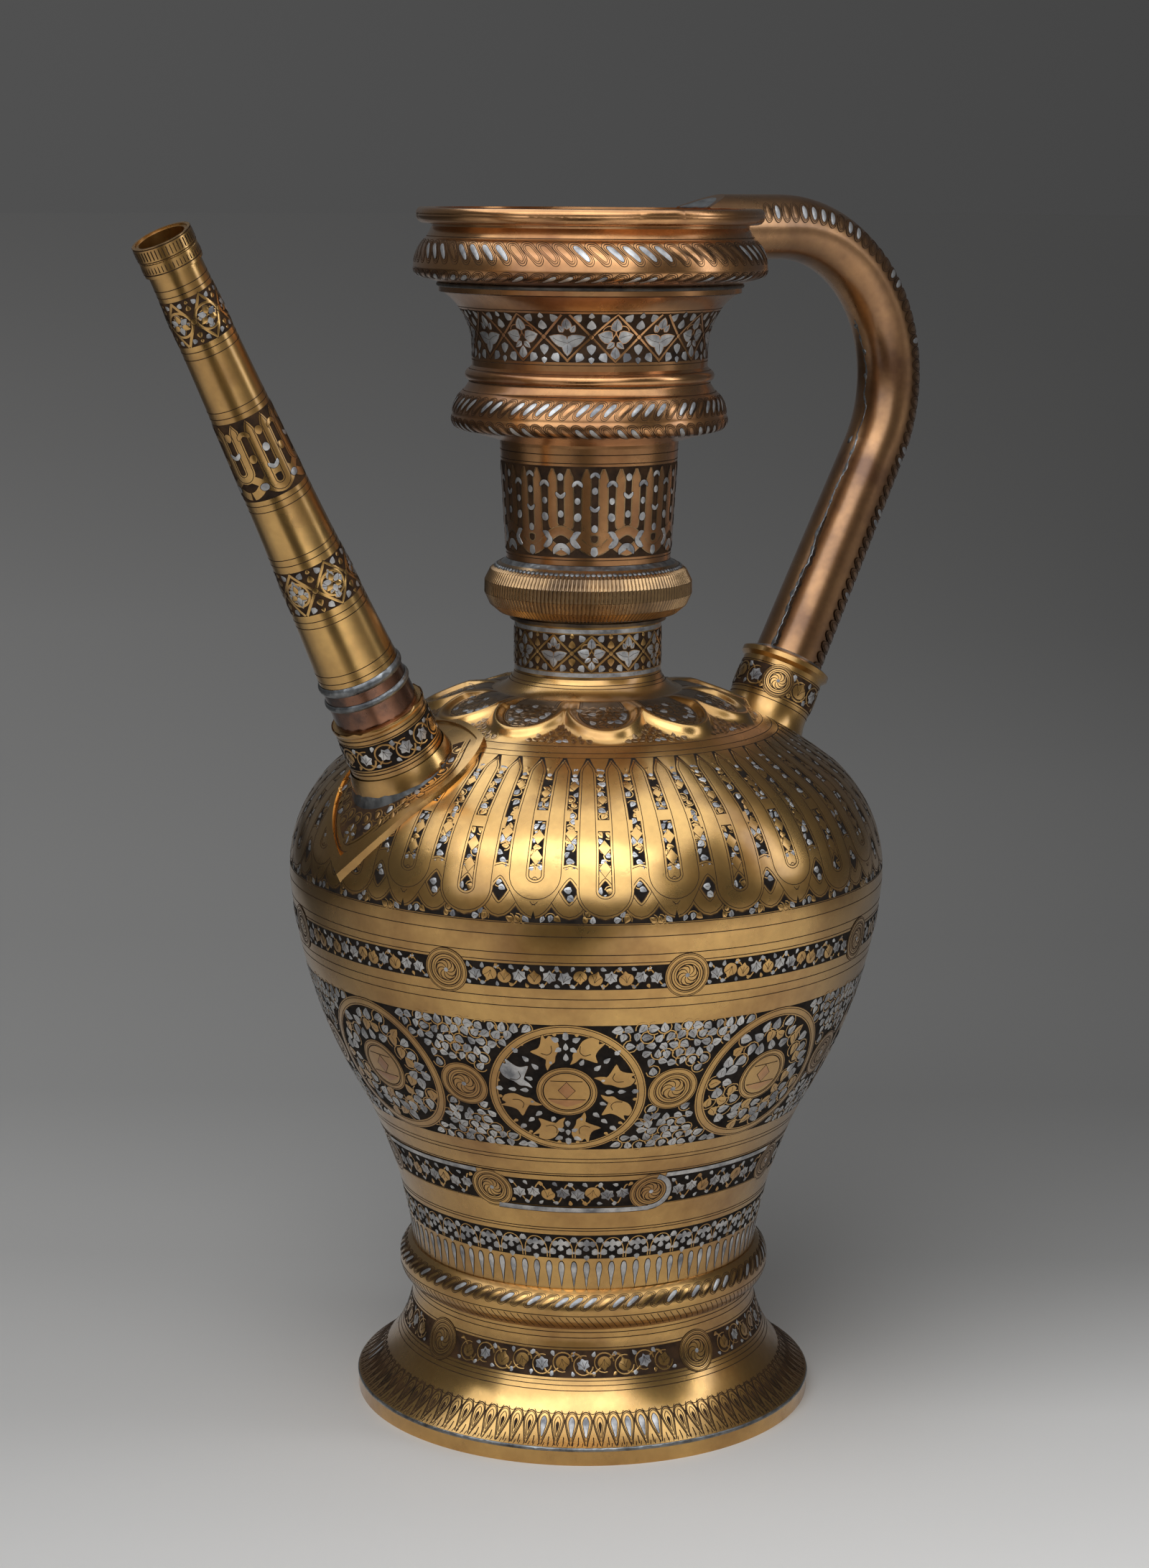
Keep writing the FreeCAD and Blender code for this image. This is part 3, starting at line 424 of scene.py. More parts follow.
class Turned:
    """The outside of turned pieces: a place on it has an angle, a way along the outline and a lift."""

    whole = 2 * math.pi
    unit = math.pi / 180

    def __init__(self, *nodes, seat=None):
        self.seat = Matrix.Identity(4) if seat is None else seat
        self.relief = None
        away = self.seat.inverted()
        seen_from = away @ camera.location
        self.front = math.atan2(seen_from.y, seen_from.x)
        outline = []
        for name in nodes:
            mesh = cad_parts[name].data
            places = np.array([tuple(away @ v.co) for v in mesh.vertices]) / MM
            faces = [tuple(face.vertices) for face in mesh.polygons]
            solid = BVHTree.FromPolygons(places.tolist(), faces)
            seam = places[(np.abs(places[:, 1]) < 0.002) & (places[:, 0] > 0)]
            for x, z in np.unique(np.round(seam[:, [0, 2]], 3), axis=0):
                meets = []
                for level in (z - 0.03, z + 0.03):
                    hit = solid.ray_cast(Vector((400, 3, level)), Vector((-1, 0, 0)))[0]
                    meets.append(hit is not None and abs(math.hypot(hit.x, hit.y) - x) < 0.3)
                if any(meets):
                    outline.append((z, int(meets[1]) - int(meets[0]), x))
        outline = np.array([(x, z) for z, _, x in sorted(outline)])
        keep = np.append(True, np.linalg.norm(np.diff(outline, axis=0), axis=1) > 0.02)
        outline = outline[keep]
        ways = np.diff(outline, axis=0)
        turns = np.degrees(np.abs(np.diff(np.unwrap(np.arctan2(ways[:, 1], ways[:, 0])))))
        breaks = [0] + [i + 1 for i, turn in enumerate(turns) if turn > CORNER_TURN] + [len(outline) - 1]
        self.runs = [smooth_run(outline[a:b + 1]) for a, b in zip(breaks[:-1], breaks[1:])]
        curve = np.vstack(self.runs)
        slopes = np.vstack([np.gradient(run, axis=0) for run in self.runs])
        slopes /= np.linalg.norm(slopes, axis=1)[:, None]
        self.reach, self.height = curve[:, 0], curve[:, 1]
        self.out = np.stack([slopes[:, 1], -slopes[:, 0]], -1)
        self.way = np.append(0, np.cumsum(np.linalg.norm(np.diff(curve, axis=0), axis=1)))

    def at(self, height):
        """The way along the outline at a height."""
        return float(np.interp(height, self.height, self.way))

    def radius(self, way):
        return np.interp(way, self.way, self.reach)

    def place(self, angle, way, lift):
        """Points in the ewer's frame."""
        angle, way = np.broadcast_arrays(angle, way)
        lift = lift + SKIN_LIFT
        if self.relief is not None:
            lift = lift + self.relief(angle, way)
        out_r = np.interp(way, self.way, self.out[:, 0])
        out_z = np.interp(way, self.way, self.out[:, 1])
        reach = self.radius(way) + lift * out_r
        height = np.interp(way, self.way, self.height) + lift * out_z
        points = np.stack([reach * np.cos(angle), reach * np.sin(angle), height], -1)
        turn = np.array(self.seat.to_3x3())
        return points @ turn.T + np.array(self.seat.translation) / MM

    def skin(self, name, low, high, metal_name, segments=ROUND_STEPS, lift=0.0):
        """A fine smooth skin over the outside between two ways along the outline."""
        points, triangles, count = [], [], 0
        start = 0.0
        for run in self.runs:
            ways = start + np.append(0, np.cumsum(np.linalg.norm(np.diff(run, axis=0), axis=1)))
            start = ways[-1]
            inside = ways[(ways > low) & (ways < high)]
            ends = [value for value in (low, high) if ways[0] <= value <= ways[-1]]
            rows = np.unique(np.concatenate([inside, ends]))
            rows = np.clip(rows, ways[0] + 1e-5, ways[-1] - 1e-5)
            if len(rows) < 2:
                continue
            angles = np.linspace(0, 2 * math.pi, segments, endpoint=False)
            grid = self.place(angles[None, :], rows[:, None], lift)
            points.append(grid.reshape(-1, 3))
            triangles.append(grid_faces(len(rows), segments, True, count))
            count += len(rows) * segments
        return make_mesh(name, np.vstack(points), np.vstack(triangles), metal_name)


# Inlay and engraving are thin shapes laid on the skins: plates for leaves, strips for straps and lines.
# Each section collects its own by metal, so that one metal of one section is one mesh.
GROUND_LIFT, LINE_LIFT, EDGE_LIFT, STRAP_LIFT, LEAF_LIFT = 0.03, 0.05, 0.07, 0.14, 0.12


class Inlay:
    """The thin shapes of one section, kept by metal."""

    def __init__(self, name):
        self.name = name
        self.kept = {}

    def lay(self, metal_name, points, triangles):
        parts = self.kept.setdefault(metal_name, [[], [], 0])
        parts[0].append(points)
        parts[1].append(triangles + parts[2])
        parts[2] += len(points)

    def finish(self):
        for metal_name, (points, triangles, _) in self.kept.items():
            make_mesh(self.name + "_" + metal_name, np.vstack(points), np.vstack(triangles), metal_name)


class Band:
    """A band round a surface, in units of its pattern: x runs round it and y up, in millimetres."""

    def __init__(self, inlay, surface, low, high, count, turn=0.0, heights=True):
        self.inlay, self.surface, self.count = inlay, surface, count
        self.low = surface.at(low) if heights else low
        self.high = surface.at(high) if heights else high
        self.tall = self.high - self.low
        self.middle = float(surface.radius((self.low + self.high) / 2))
        self.wide = surface.whole * self.middle / count
        self.turn = surface.front + turn * surface.unit

    def shape(self, metal_name, flat, lifts, triangles, at=(0.0, 0.0), copies=None):
        """Lay a flat shape true to size round its own centre, in every unit or in those named."""
        units = np.arange(self.count) if copies is None else np.array(copies, int)
        if len(units) == 0:
            return
        way = self.low + at[1] + flat[:, 1]
        around = at[0] / self.middle + flat[:, 0] / self.surface.radius(way)
        angle = self.turn + self.surface.whole * units[:, None] / self.count + around[None, :]
        points = self.surface.place(angle, way[None, :], np.asarray(lifts)[None, :])
        steps = (np.arange(len(units)) * len(flat))[:, None, None]
        self.inlay.lay(metal_name, points.reshape(-1, 3), (triangles[None] + steps).reshape(-1, 3))

    def plate(self, metal_name, outline, at=(0.0, 0.0), lift=LEAF_LIFT, dome=0.1, copies=None, edge=0.0):
        """A thin plate, a little domed, with a dark edge line if asked."""
        flat, lifts, triangles = fan(outline, lift, dome)
        self.shape(metal_name, flat, lifts, triangles, at, copies)
        if edge:
            self.strip("groove", closed(outline), edge, at, lift + 0.01, 0.0, copies)

    def strip(self, metal_name, path, width, at=(0.0, 0.0), lift=STRAP_LIFT, crown=0.06, copies=None,
              edge=0.0, lines=0.0):
        """A strip of metal along a path, with a dark edge outside and engraved lines inside if asked."""
        if edge:
            flat, lifts, triangles = ribbon(path, np.asarray(width) + 2 * edge, np.asarray(lift) - 0.05, 0.0)
            self.shape("groove", flat, lifts, triangles, at, copies)
        flat, lifts, triangles = ribbon(path, width, lift, crown)
        self.shape(metal_name, flat, lifts, triangles, at, copies)
        if lines:
            for side in (-1, 1):
                beside = shifted(path, side * (np.asarray(width) / 2 - lines))
                flat, lifts, triangles = ribbon(beside, 0.26, np.asarray(lift) + crown + 0.02, 0.0)
                self.shape("groove", flat, lifts, triangles, at, copies)

    def ground(self, metal_name="paste", inset=0.0):
        """Fill the whole band with one metal."""
        ring(self.inlay, self.surface, metal_name, self.low + inset, self.high - inset, GROUND_LIFT)

    def round_line(self, metal_name, y, width, lift=LINE_LIFT, crown=0.0):
        """A line or wire all the way round."""
        way = self.low + y
        ring(self.inlay, self.surface, metal_name, way - width / 2, way + width / 2, lift, crown)


def ring(inlay, surface, metal_name, low, high, lift, crown=0.0):
    """A strip of metal right round a surface."""
    rows = np.linspace(low, high, max(3, int((high - low) / ROW_STEP) + 2))
    angles = np.linspace(0, 2 * math.pi, ROUND_STEPS, endpoint=False)
    lifts = lift + crown * np.sin(np.linspace(0, math.pi, len(rows)))[:, None]
    points = surface.place(angles[None, :], rows[:, None], lifts)
    inlay.lay(metal_name, points.reshape(-1, 3), grid_faces(len(rows), ROUND_STEPS, True))


def lines_round(inlay, surface, heights, width=0.32, metal_name="groove"):
    """Engraved lines right round a surface at the given heights."""
    for height in heights:
        way = surface.at(height)
        ring(inlay, surface, metal_name, way - width / 2, way + width / 2, LINE_LIFT)


def fan(outline, lift, dome):
    """Flat points, lifts and triangles of a plate that is highest in its middle."""
    count = len(outline)
    centre = outline.mean(axis=0)
    shares = (1.0, 0.62, 0.25)
    flat = np.vstack([centre + (outline - centre) * share for share in shares] + [centre[None]])
    lifts = np.concatenate([np.full(count, lift), np.full(count, lift + dome * 0.75),
                            np.full(count, lift + dome * 0.97), [lift + dome]])
    i = np.arange(count)
    j = (i + 1) % count
    triangles = [np.stack([i + a, j + a, j + a + count], -1) for a in (0, count)]
    triangles += [np.stack([i + a, j + a + count, i + a + count], -1) for a in (0, count)]
    triangles.append(np.stack([i + 2 * count, j + 2 * count, np.full(count, 3 * count)], -1))
    return flat, lifts, np.vstack(triangles)


def across_of(path):
    """Unit directions square to a path."""
    if np.allclose(path[0], path[-1]):
        way = np.roll(path[:-1], -1, axis=0) - np.roll(path[:-1], 1, axis=0)
        way = np.vstack([way, way[:1]])
    else:
        way = np.gradient(path, axis=0)
    way = way / np.maximum(np.linalg.norm(way, axis=1), 1e-9)[:, None]
    return np.stack([-way[:, 1], way[:, 0]], -1)


def shifted(path, distance):
    """The path moved sideways."""
    return path + across_of(path) * np.reshape(distance, (-1, 1))


def ribbon(path, width, lift, crown):
    """Flat points, lifts and triangles of a strip along a path."""
    width = np.broadcast_to(np.asarray(width, float), (len(path),))
    lift = np.broadcast_to(np.asarray(lift, float), (len(path),))
    columns = 2 if width.max() < 0.9 and crown == 0 else max(3, 2 * int(width.max() / 3.2) + 3)
    sides = np.linspace(-0.5, 0.5, columns)
    across = across_of(path)
    flat = (path[:, None, :] + across[:, None, :] * (sides[None, :, None] * width[:, None, None]))
    lifts = lift[:, None] + crown * (1 - (2 * sides[None, :]) ** 2)
    return flat.reshape(-1, 2), lifts.ravel(), grid_faces(len(path), columns)[:, ::-1]


def circle(radius, steps=32):
    turn = np.linspace(0, 2 * math.pi, steps, endpoint=False)
    return np.stack([radius * np.cos(turn), radius * np.sin(turn)], -1)


def closed(outline):
    return np.vstack([outline, outline[:1]])


def moved(outline, x=0.0, y=0.0, turn=0.0, size=1.0):
    """A shape turned by degrees, scaled and moved."""
    angle = math.radians(turn)
    spin = np.array([[math.cos(angle), math.sin(angle)], [-math.sin(angle), math.cos(angle)]])
    return outline @ spin * size + np.array([x, y])


def through(points, steps=6, loop=False):
    """A smooth path through given points."""
    p = np.array(points, float)
    p = np.vstack([p[-1:], p, p[:2]]) if loop else np.vstack([2 * p[:1] - p[1:2], p, 2 * p[-1:] - p[-2:-1]])
    path = []
    for a, b, c, d in zip(p[:-3], p[1:-2], p[2:-1], p[3:]):
        t = np.linspace(0, 1, steps, endpoint=False)[:, None]
        path.append(0.5 * (2 * b + (c - a) * t + (2 * a - 5 * b + 4 * c - d) * t**2
                           + (3 * b - a - 3 * c + d) * t**3))
    return np.vstack(path + [p[-2][None]])


def leaf(length, width, steps=5):
    """A leaf with a round base at the origin and its tip along +x."""
    t = np.linspace(0, 1, steps + 1)
    half = width / 2 * np.sin(np.pi * t**0.62) ** 0.8
    upper = np.stack([length * t, half], -1)
    lower = np.stack([length * t[::-1], -half[::-1]], -1)
    return np.vstack([upper[:-1], lower[:-1]])


def rope_row(inlay, surface, low, high, count, lean, body, silver=(), turn=0.0, fat=0.72):
    """A row of slanted ovals cut with double lines, some of them let in with silver."""
    band = Band(inlay, surface, low, high, count, turn)
    tall, pitch = band.tall, band.wide
    t = np.linspace(0, 2 * math.pi, 20, endpoint=False)

    def oval(width, height):
        x = width / 2 * np.sign(np.cos(t)) * np.abs(np.cos(t)) ** 0.8 * (1 + 0.2 * np.sin(t))
        y = height / 2 * np.sin(t)
        return np.stack([x + lean * pitch * (y / tall + 0.1 * np.sin(2 * math.pi * y / tall)), y], -1)

    middle = (pitch / 2, tall / 2)
    band.plate(body, oval(pitch * 0.94, tall), middle, EDGE_LIFT, 0.1)
    band.strip("groove", closed(oval(pitch * 0.94, tall)), 0.26, middle, LEAF_LIFT, 0.0)
    band.strip("groove", closed(oval(pitch * fat, tall * 0.82)), 0.24, middle, 0.22, 0.0)
    inner = oval(pitch * (fat - 0.24), tall * 0.66)
    filled = [unit for unit in range(count) if silver and silver[unit % len(silver)]]
    plain = [unit for unit in range(count) if unit not in filled]
    band.plate("silver", inner, middle, 0.26, 0.1, filled, edge=0.28)
    band.strip("groove", closed(inner), 0.2, middle, 0.27, 0.0, plain)
    return band


dress("brass", "base_rim", "foot", "foot_girdle", "body_shell", "spout_collar", "spout_escutcheon",
      "spout_tube", "spout_ferrule", "handle_socket")
foot = Turned("base_rim", "foot")
foot.skin("foot_skin", 0.0, foot.at(47.2), "brass")
foot_inlay = Inlay("foot")
lines_round(foot_inlay, foot, (45.4, 43.2, 39.3, 27.2, 25.6, 23.8))

# A band of curling vines with silver and brass buds runs round the foot under two pairs of lines.
# Four whirl rosettes in looped straps break it up, and lower down a row of arches stands on the edge.
FOOT_TURN = -6.2 + 45.0


def whirl(band, x, y, size, metal_name, petals=8, copies=None, strap=0.0):
    """A whirl rosette in a ring: a disc cut by bent lines into blades round a small silver boss."""
    band.plate(metal_name, circle(size * 1.42 if strap else size, 36), (x, y), 0.17, 0.0, copies, edge=0.3)
    reach = np.array([0.22, 0.42, 0.62, 0.8, 0.92, 0.98]) * size
    twist = np.radians([0.0, 16.0, 30.0, 46.0, 66.0, 92.0])
    blade = np.stack([reach * np.cos(twist), reach * np.sin(twist)], -1)
    cut = np.array([0.22, 0.26, 0.32, 0.44, 0.5, 0.3])
    for i in range(petals):
        band.strip("groove", moved(blade, turn=360.0 * i / petals), cut, (x, y), 0.2, 0.0, copies)
    band.strip("groove", closed(circle(size, 36)), 0.36, (x, y), 0.21, 0.0, copies)
    band.plate("silver", circle(size * 0.2, 10), (x, y), 0.26, 0.1, copies)
    band.strip("groove", closed(circle(size * 1.2, 36)), 0.26, (x, y), 0.2, 0.0, copies)
    if strap:
        outer = size * 1.42 + strap / 2 + 0.35
        band.strip(metal_name, closed(circle(outer, 44)), strap, (x, y), 0.22, 0.05, copies, edge=0.28,
                   lines=0.4)


def star_leaf(size):
    """A leaf with five points and a short stalk, pointing up."""
    reach = (1.0, 0.74, 0.96, 0.72, 0.88, 0.56)
    turns = (90, 62, 34, 6, -24, -62)
    right = [(size * 0.5 * r * math.cos(math.radians(t)), size * 0.5 * r * math.sin(math.radians(t)))
             for r, t in zip(reach, turns)]
    left = [(-x, y) for x, y in right[:0:-1]]
    return through(right + [(0.0, -0.42 * size)] + left, 2, True)[:-1]


def bud_leaf(size):
    """A round bud with a pointed tip, pointing up."""
    half = [(0.0, 0.56), (0.16, 0.36), (0.4, 0.22), (0.46, -0.06), (0.3, -0.34), (0.0, -0.44)]
    whole = half + [(-x, y) for x, y in half[-2:0:-1]]
    return through([(x * size, y * size) for x, y in whole], 2, True)[:-1]


def vine_band(band, vine, buds, period, wire_width=0.5, gap=0.0, leaf_size=1.0, seed=1, copies=None,
              scroll=0.0):
    """A waving stem with a curl and a leaf or bud in every bay, between clear gaps at the unit's ends."""
    random = np.random.default_rng(seed)
    wide, tall = band.wide, band.tall
    bays = max(2, int(round((wide - 2 * gap) / period)))
    step = (wide - 2 * gap) / bays
    x = np.linspace(gap, wide - gap, bays * 10 + 1)
    stem = np.stack([x, tall / 2 + 0.36 * tall * np.cos((x - gap) / step * math.pi)], -1)
    band.strip(vine, stem, wire_width, lift=0.12, crown=0.08, copies=copies)
    for i in range(bays):
        centre = gap + (i + 0.5) * step
        side = -1 if i % 2 == 0 else 1
        kind = buds[i % len(buds)]
        turn = (0 if side < 0 else 180) + random.uniform(-22, 22)
        grow = leaf_size * min(step * 1.02, tall * 0.84) * random.uniform(0.92, 1.06)
        shape = {"bud": bud_leaf, "leaf": star_leaf}[kind](grow)
        metal_name = vine if kind == "bud" else "silver"
        middle = (centre, tall / 2 + side * 0.05 * tall)
        band.plate(metal_name, moved(shape, turn=turn), middle, 0.19, 0.12, copies, edge=0.26)
        if scroll:
            arc = np.linspace(0.1, 1.6 * math.pi, 16)
            curl = np.stack([np.cos(arc), side * np.sin(arc)], -1) * min(step * 0.47, tall * 0.4)
            thins = np.linspace(scroll, scroll * 0.6, 16)
            band.strip(vine, curl, thins, middle, 0.15, 0.06, copies, edge=0.2)
        for bend in (-0.5, 0.0, 0.5):
            vein = np.array([(0.0, -0.3), (bend * 0.3, 0.02), (bend * 0.8, 0.3)]) * grow * 0.8
            band.strip("groove", moved(vein, turn=turn), 0.16, middle, 0.34, 0.0, copies)
        for end in (-1, 1):
            for dy, long in ((0.36, 0.4), (-0.36, 0.36)):
                shape = moved(leaf(long * grow, long * grow * 0.66), -long * grow / 2)
                spot = (centre + end * 0.5 * step, tall / 2 + dy * tall)
                if dy * side * (1 if i % 2 else 1) > 0 or end < 0:
                    band.plate("silver" if random.random() < 0.8 else vine,
                               moved(shape, turn=random.uniform(0, 360)), spot, 0.16, 0.1, copies)


foot_vines = Band(foot_inlay, foot, 28.2, 38.4, 4, FOOT_TURN)
foot_vines.ground("groove")
vine_band(foot_vines, "brass", ("bud", "leaf", "bud", "bud", "leaf"), 7.8, 0.7, 11.5, 0.72, 3, scroll=0.6)
whirl(foot_vines, 0.0, foot_vines.tall / 2, 4.4, "brass", 7, strap=1.6)

arches = Band(foot_inlay, foot, 7.8, 20.4, 96, 1.0)
arch = through([(-0.3, -0.2), (-1.2, 3.6), (-2.2, 7.8), (-2.45, 10.6), (-1.5, 13.0), (0.0, 13.9), (1.5, 13.0),
                (2.45, 10.6), (2.2, 7.8), (1.2, 3.6), (0.3, -0.2)], 4)
tongue = through([(0.0, 2.6), (-0.8, 6.2), (-1.15, 9.4), (0.0, 11.4), (1.15, 9.4), (0.8, 6.2)], 3, True)[:-1]
scale = arches.wide / 5.4
for size, width in ((1.0, 0.46), (0.82, 0.3)):
    arches.strip("groove", moved(arch, 0.0, (1 - size) * 10.5, size=size * scale), width, lift=LINE_LIFT)
arches.strip("groove", np.array([(0.0, 0.0), (0.0, 3.6)]), 0.4, (arches.wide / 2, 0.0), LINE_LIFT)
arches.strip("groove", through([(-1.6, 14.6), (-0.7, 13.4), (0.7, 13.4), (1.6, 14.6)], 3), 0.3,
             (arches.wide / 2, 0.0), LINE_LIFT)
ARCH_SILVER = [0, 2, 3, 4, 5, 30, 31, 47, 60, 72, 73, 93, 95]
ARCH_PLAIN = [unit for unit in range(arches.count) if unit not in ARCH_SILVER]
arches.plate("silver", tongue * scale, (0.0, 0.6), copies=ARCH_SILVER, edge=0.3)
arches.plate("groove", tongue * scale * 0.56, (0.0, 3.7), LINE_LIFT, 0.0, copies=ARCH_PLAIN)
arches.strip("groove", closed(tongue * scale), 0.3, (0.0, 0.6), LINE_LIFT, copies=ARCH_PLAIN)
edge_cuts = Band(foot_inlay, foot, 7.4, 9.0, 300)
edge_cuts.strip("groove", np.array([(0.0, 0.0), (0.25, 0.8), (0.4, 1.7)]), 0.3, lift=LINE_LIFT)
foot_inlay.finish()
dress("solder", "foot_solder")
dress("brass", "base_plate")

# The girdle is a roped moulding that hides the joint of foot and body.
# Slanted ovals are cut above its ridge and under it.
girdle = Turned("foot_girdle")
girdle_inlay = Inlay("girdle")
girdle.skin("girdle_skin", 0.0, girdle.way[-1], "brass")
rope_row(girdle_inlay, girdle, 56.2, 61.6, 84, 0.9, "brass", (1, 0, 1, 1, 0, 0, 1, 0))
feather = Band(girdle_inlay, girdle, 48.4, 53.4, 168)
barb = through([(0.0, 0.1), (-1.2, 0.4 * feather.tall), (-3.8, feather.tall)], 4)
feather.strip("groove", barb, 0.28, lift=LINE_LIFT)
lines_round(girdle_inlay, girdle, (53.9,))
girdle_inlay.finish()

# The body is one raised sheet: a vase that swells to a domed shoulder and draws in to the lower neck.
# Its shoulder is chased into eleven round petals that stand proud of the metal round them.
PETAL_COUNT = 11
PETAL_TURN = 7.1
PETAL_RISE = 3.0
PETAL_REACH = 50.5
PETAL_HALF = 12.2
body = Turned("body_shell")
petal_pitch = 2 * math.pi / PETAL_COUNT


def petal_distance(angle, way):
    """Distance outside a petal's outline on the shoulder, in millimetres."""
    turn = (angle - math.radians(VIEW_TURN + PETAL_TURN) + petal_pitch / 2) % petal_pitch - petal_pitch / 2
    reach = body.radius(way)
    x = reach * turn
    beyond = np.hypot(x, reach - PETAL_REACH) - PETAL_HALF
    beside = np.abs(x) - PETAL_HALF * np.clip(reach / PETAL_REACH, 0.2, 1.0)
    return np.where(reach > PETAL_REACH, beyond, beside)


def petal_relief(angle, way):
    """Height of the chased petals: a round swelling along each outline and a low field inside."""
    reach = body.radius(way)
    fade = np.clip((reach - 37.0) / 12.0, 0.0, 1.0) * np.clip((72.0 - reach) / 4.0, 0.0, 1.0)
    fade = fade * (way > body.at(270.0))
    away = petal_distance(angle, way)
    swelling = np.exp(-((away - 1.0) / 2.6) ** 2)
    field = 0.35 / (1 + np.exp(np.clip(away, -30, 30) / 0.8))
    return PETAL_RISE * fade * np.maximum(swelling, field)


body.relief = petal_relief
body.skin("body_skin", body.at(62.6), body.way[-1], "brass", 720)
body_inlay = Inlay("body")
lines_round(body_inlay, body, (88.5, 89.6, 113.4, 114.2, 119.6, 121.2, 187.4, 190.9, 205.2, 208.3, 215.2,
                               219.8, 274.9, 276.8))

# At the body's foot silver drops hang in a row under small clusters of silver leaves.
drops = Band(body_inlay, body, 62.8, 76.0, 92, 1.0)
drop = through([(0.0, 0.4), (-0.5, 4.6), (-1.15, 8.6), (-0.75, 11.2), (0.0, 11.8), (0.75, 11.2),
                (1.15, 8.6), (0.5, 4.6)], 2, True)[:-1]
drops.plate("silver", drop, (0.0, 0.6), edge=0.34)
drops.strip("groove", np.array([(0.0, 0.2), (0.0, -1.2)]), 0.25, (0.0, 0.6), LINE_LIFT)
clusters = Band(body_inlay, body, 76.4, 86.6, 46, 1.0)
clusters.ground()
cluster_arch = through([(-4.4, 0.4), (-4.2, 5.0), (-2.4, 8.4), (0.0, 9.4), (2.4, 8.4), (4.2, 5.0),
                        (4.4, 0.4)], 4)
clusters.strip("brass", cluster_arch, 0.4, crown=0.08)
for x, y, turn, long in ((-2.0, 3.6, 205, 2.9), (2.0, 3.6, -25, 2.9), (0.0, 1.6, 270, 2.2),
                         (-1.2, 6.0, 155, 2.7), (1.2, 6.0, 25, 2.7), (0.0, 5.4, 90, 2.9),
                         (-4.7, 7.2, 90, 2.2), (4.7, 7.2, 90, 2.2), (-0.2, 3.2, 90, 2.4)):
    clusters.plate("silver", moved(leaf(long * 1.16, long), x, y, turn))

# Two narrow bands of leaves run round the body, and between them a broad one of eight round medallions.
# Straps loop round small whirl rosettes between the medallions, and silver leaves fill the corners.
MEDALLION_TURN = -3.7
UNITS = 8
upper = Band(body_inlay, body, 194.8, 204.2, UNITS, MEDALLION_TURN + 22.5)
upper.ground()
vine_band(upper, "brass", ("leaf", "bud", "bud", "leaf", "bud", "leaf"), 5.6, 0.5, 9.0, 1.02, 5)
whirl(upper, 0.0, upper.tall / 2, 4.3, "brass", 8, strap=2.0)
lower = Band(body_inlay, body, 99.4, 111.0, UNITS, MEDALLION_TURN + 22.5)
lower.ground()
vine_band(lower, "brass", ("leaf", "leaf", "bud"), 5.8, 0.5, 8.6, 1.1, 6)
whirl(lower, 0.0, lower.tall / 2, 4.3, "brass", 8, strap=2.0)
lower.round_line("brass", -1.3, 2.0, STRAP_LIFT, 0.05)
lower.round_line("brass", lower.tall + 1.3, 2.0, STRAP_LIFT, 0.05)
loop = np.linspace(-math.pi / 2, 0.42 * math.pi, 18)
under = np.stack([np.linspace(4.0 - lower.wide, -0.5, 30), np.full(30, -1.5)], -1)
curl = np.stack([7.3 * np.cos(loop), lower.tall / 2 + 7.3 * np.sin(loop)], -1)
lower.strip("silver", np.vstack([under, curl]), 2.0, (0, 0), 0.3, 0.08, [0], edge=0.25)
over = np.stack([np.linspace(3.0 - lower.wide, -5.5, 30), np.full(30, lower.tall + 1.4)], -1)
lower.strip("silver", over, 1.9, (0, 0), 0.3, 0.08, [7, 1], edge=0.25)

wide_band = Band(body_inlay, body, 125.9, 180.4, UNITS, MEDALLION_TURN)
wide_band.ground()
MEDALLION_RADIUS = 28.0
STRAP_WIDTH = 3.4
centre = (0.0, wide_band.tall / 2)
wide_band.strip("brass", closed(circle(MEDALLION_RADIUS, 96)), STRAP_WIDTH, centre, edge=0.3, lines=0.6)
roundel = closed(circle(10.2, 48))
wide_band.strip("brass", roundel, 2.2, centre, 0.2, 0.06, edge=0.3, lines=0.45)


def disc(band, metal_name, radius, at, lift):
    """A larger round plate with rings close enough to follow the wall."""
    shares = np.linspace(1, 0, int(radius / 2) + 2)[:-1]
    outline = circle(radius, 40)
    flat = np.vstack([outline * share for share in shares] + [np.zeros((1, 2))])
    i = np.arange(40)
    j = (i + 1) % 40
    triangles = []
    for step in range(len(shares) - 1):
        a = step * 40
        triangles += [np.stack([i + a, j + a, j + a + 40], -1), np.stack([i + a, j + a + 40, i + a + 40], -1)]
    a = (len(shares) - 1) * 40
    triangles.append(np.stack([i + a, j + a, np.full(40, a + 40)], -1))
    band.shape(metal_name, flat, np.full(len(flat), lift), np.vstack(triangles), at)


disc(wide_band, "brass", 8.6, centre, 0.16)
rosette_at = (wide_band.wide / 2, wide_band.tall / 2)
whirl(wide_band, *rosette_at, 4.7, "brass", 7, strap=2.6)


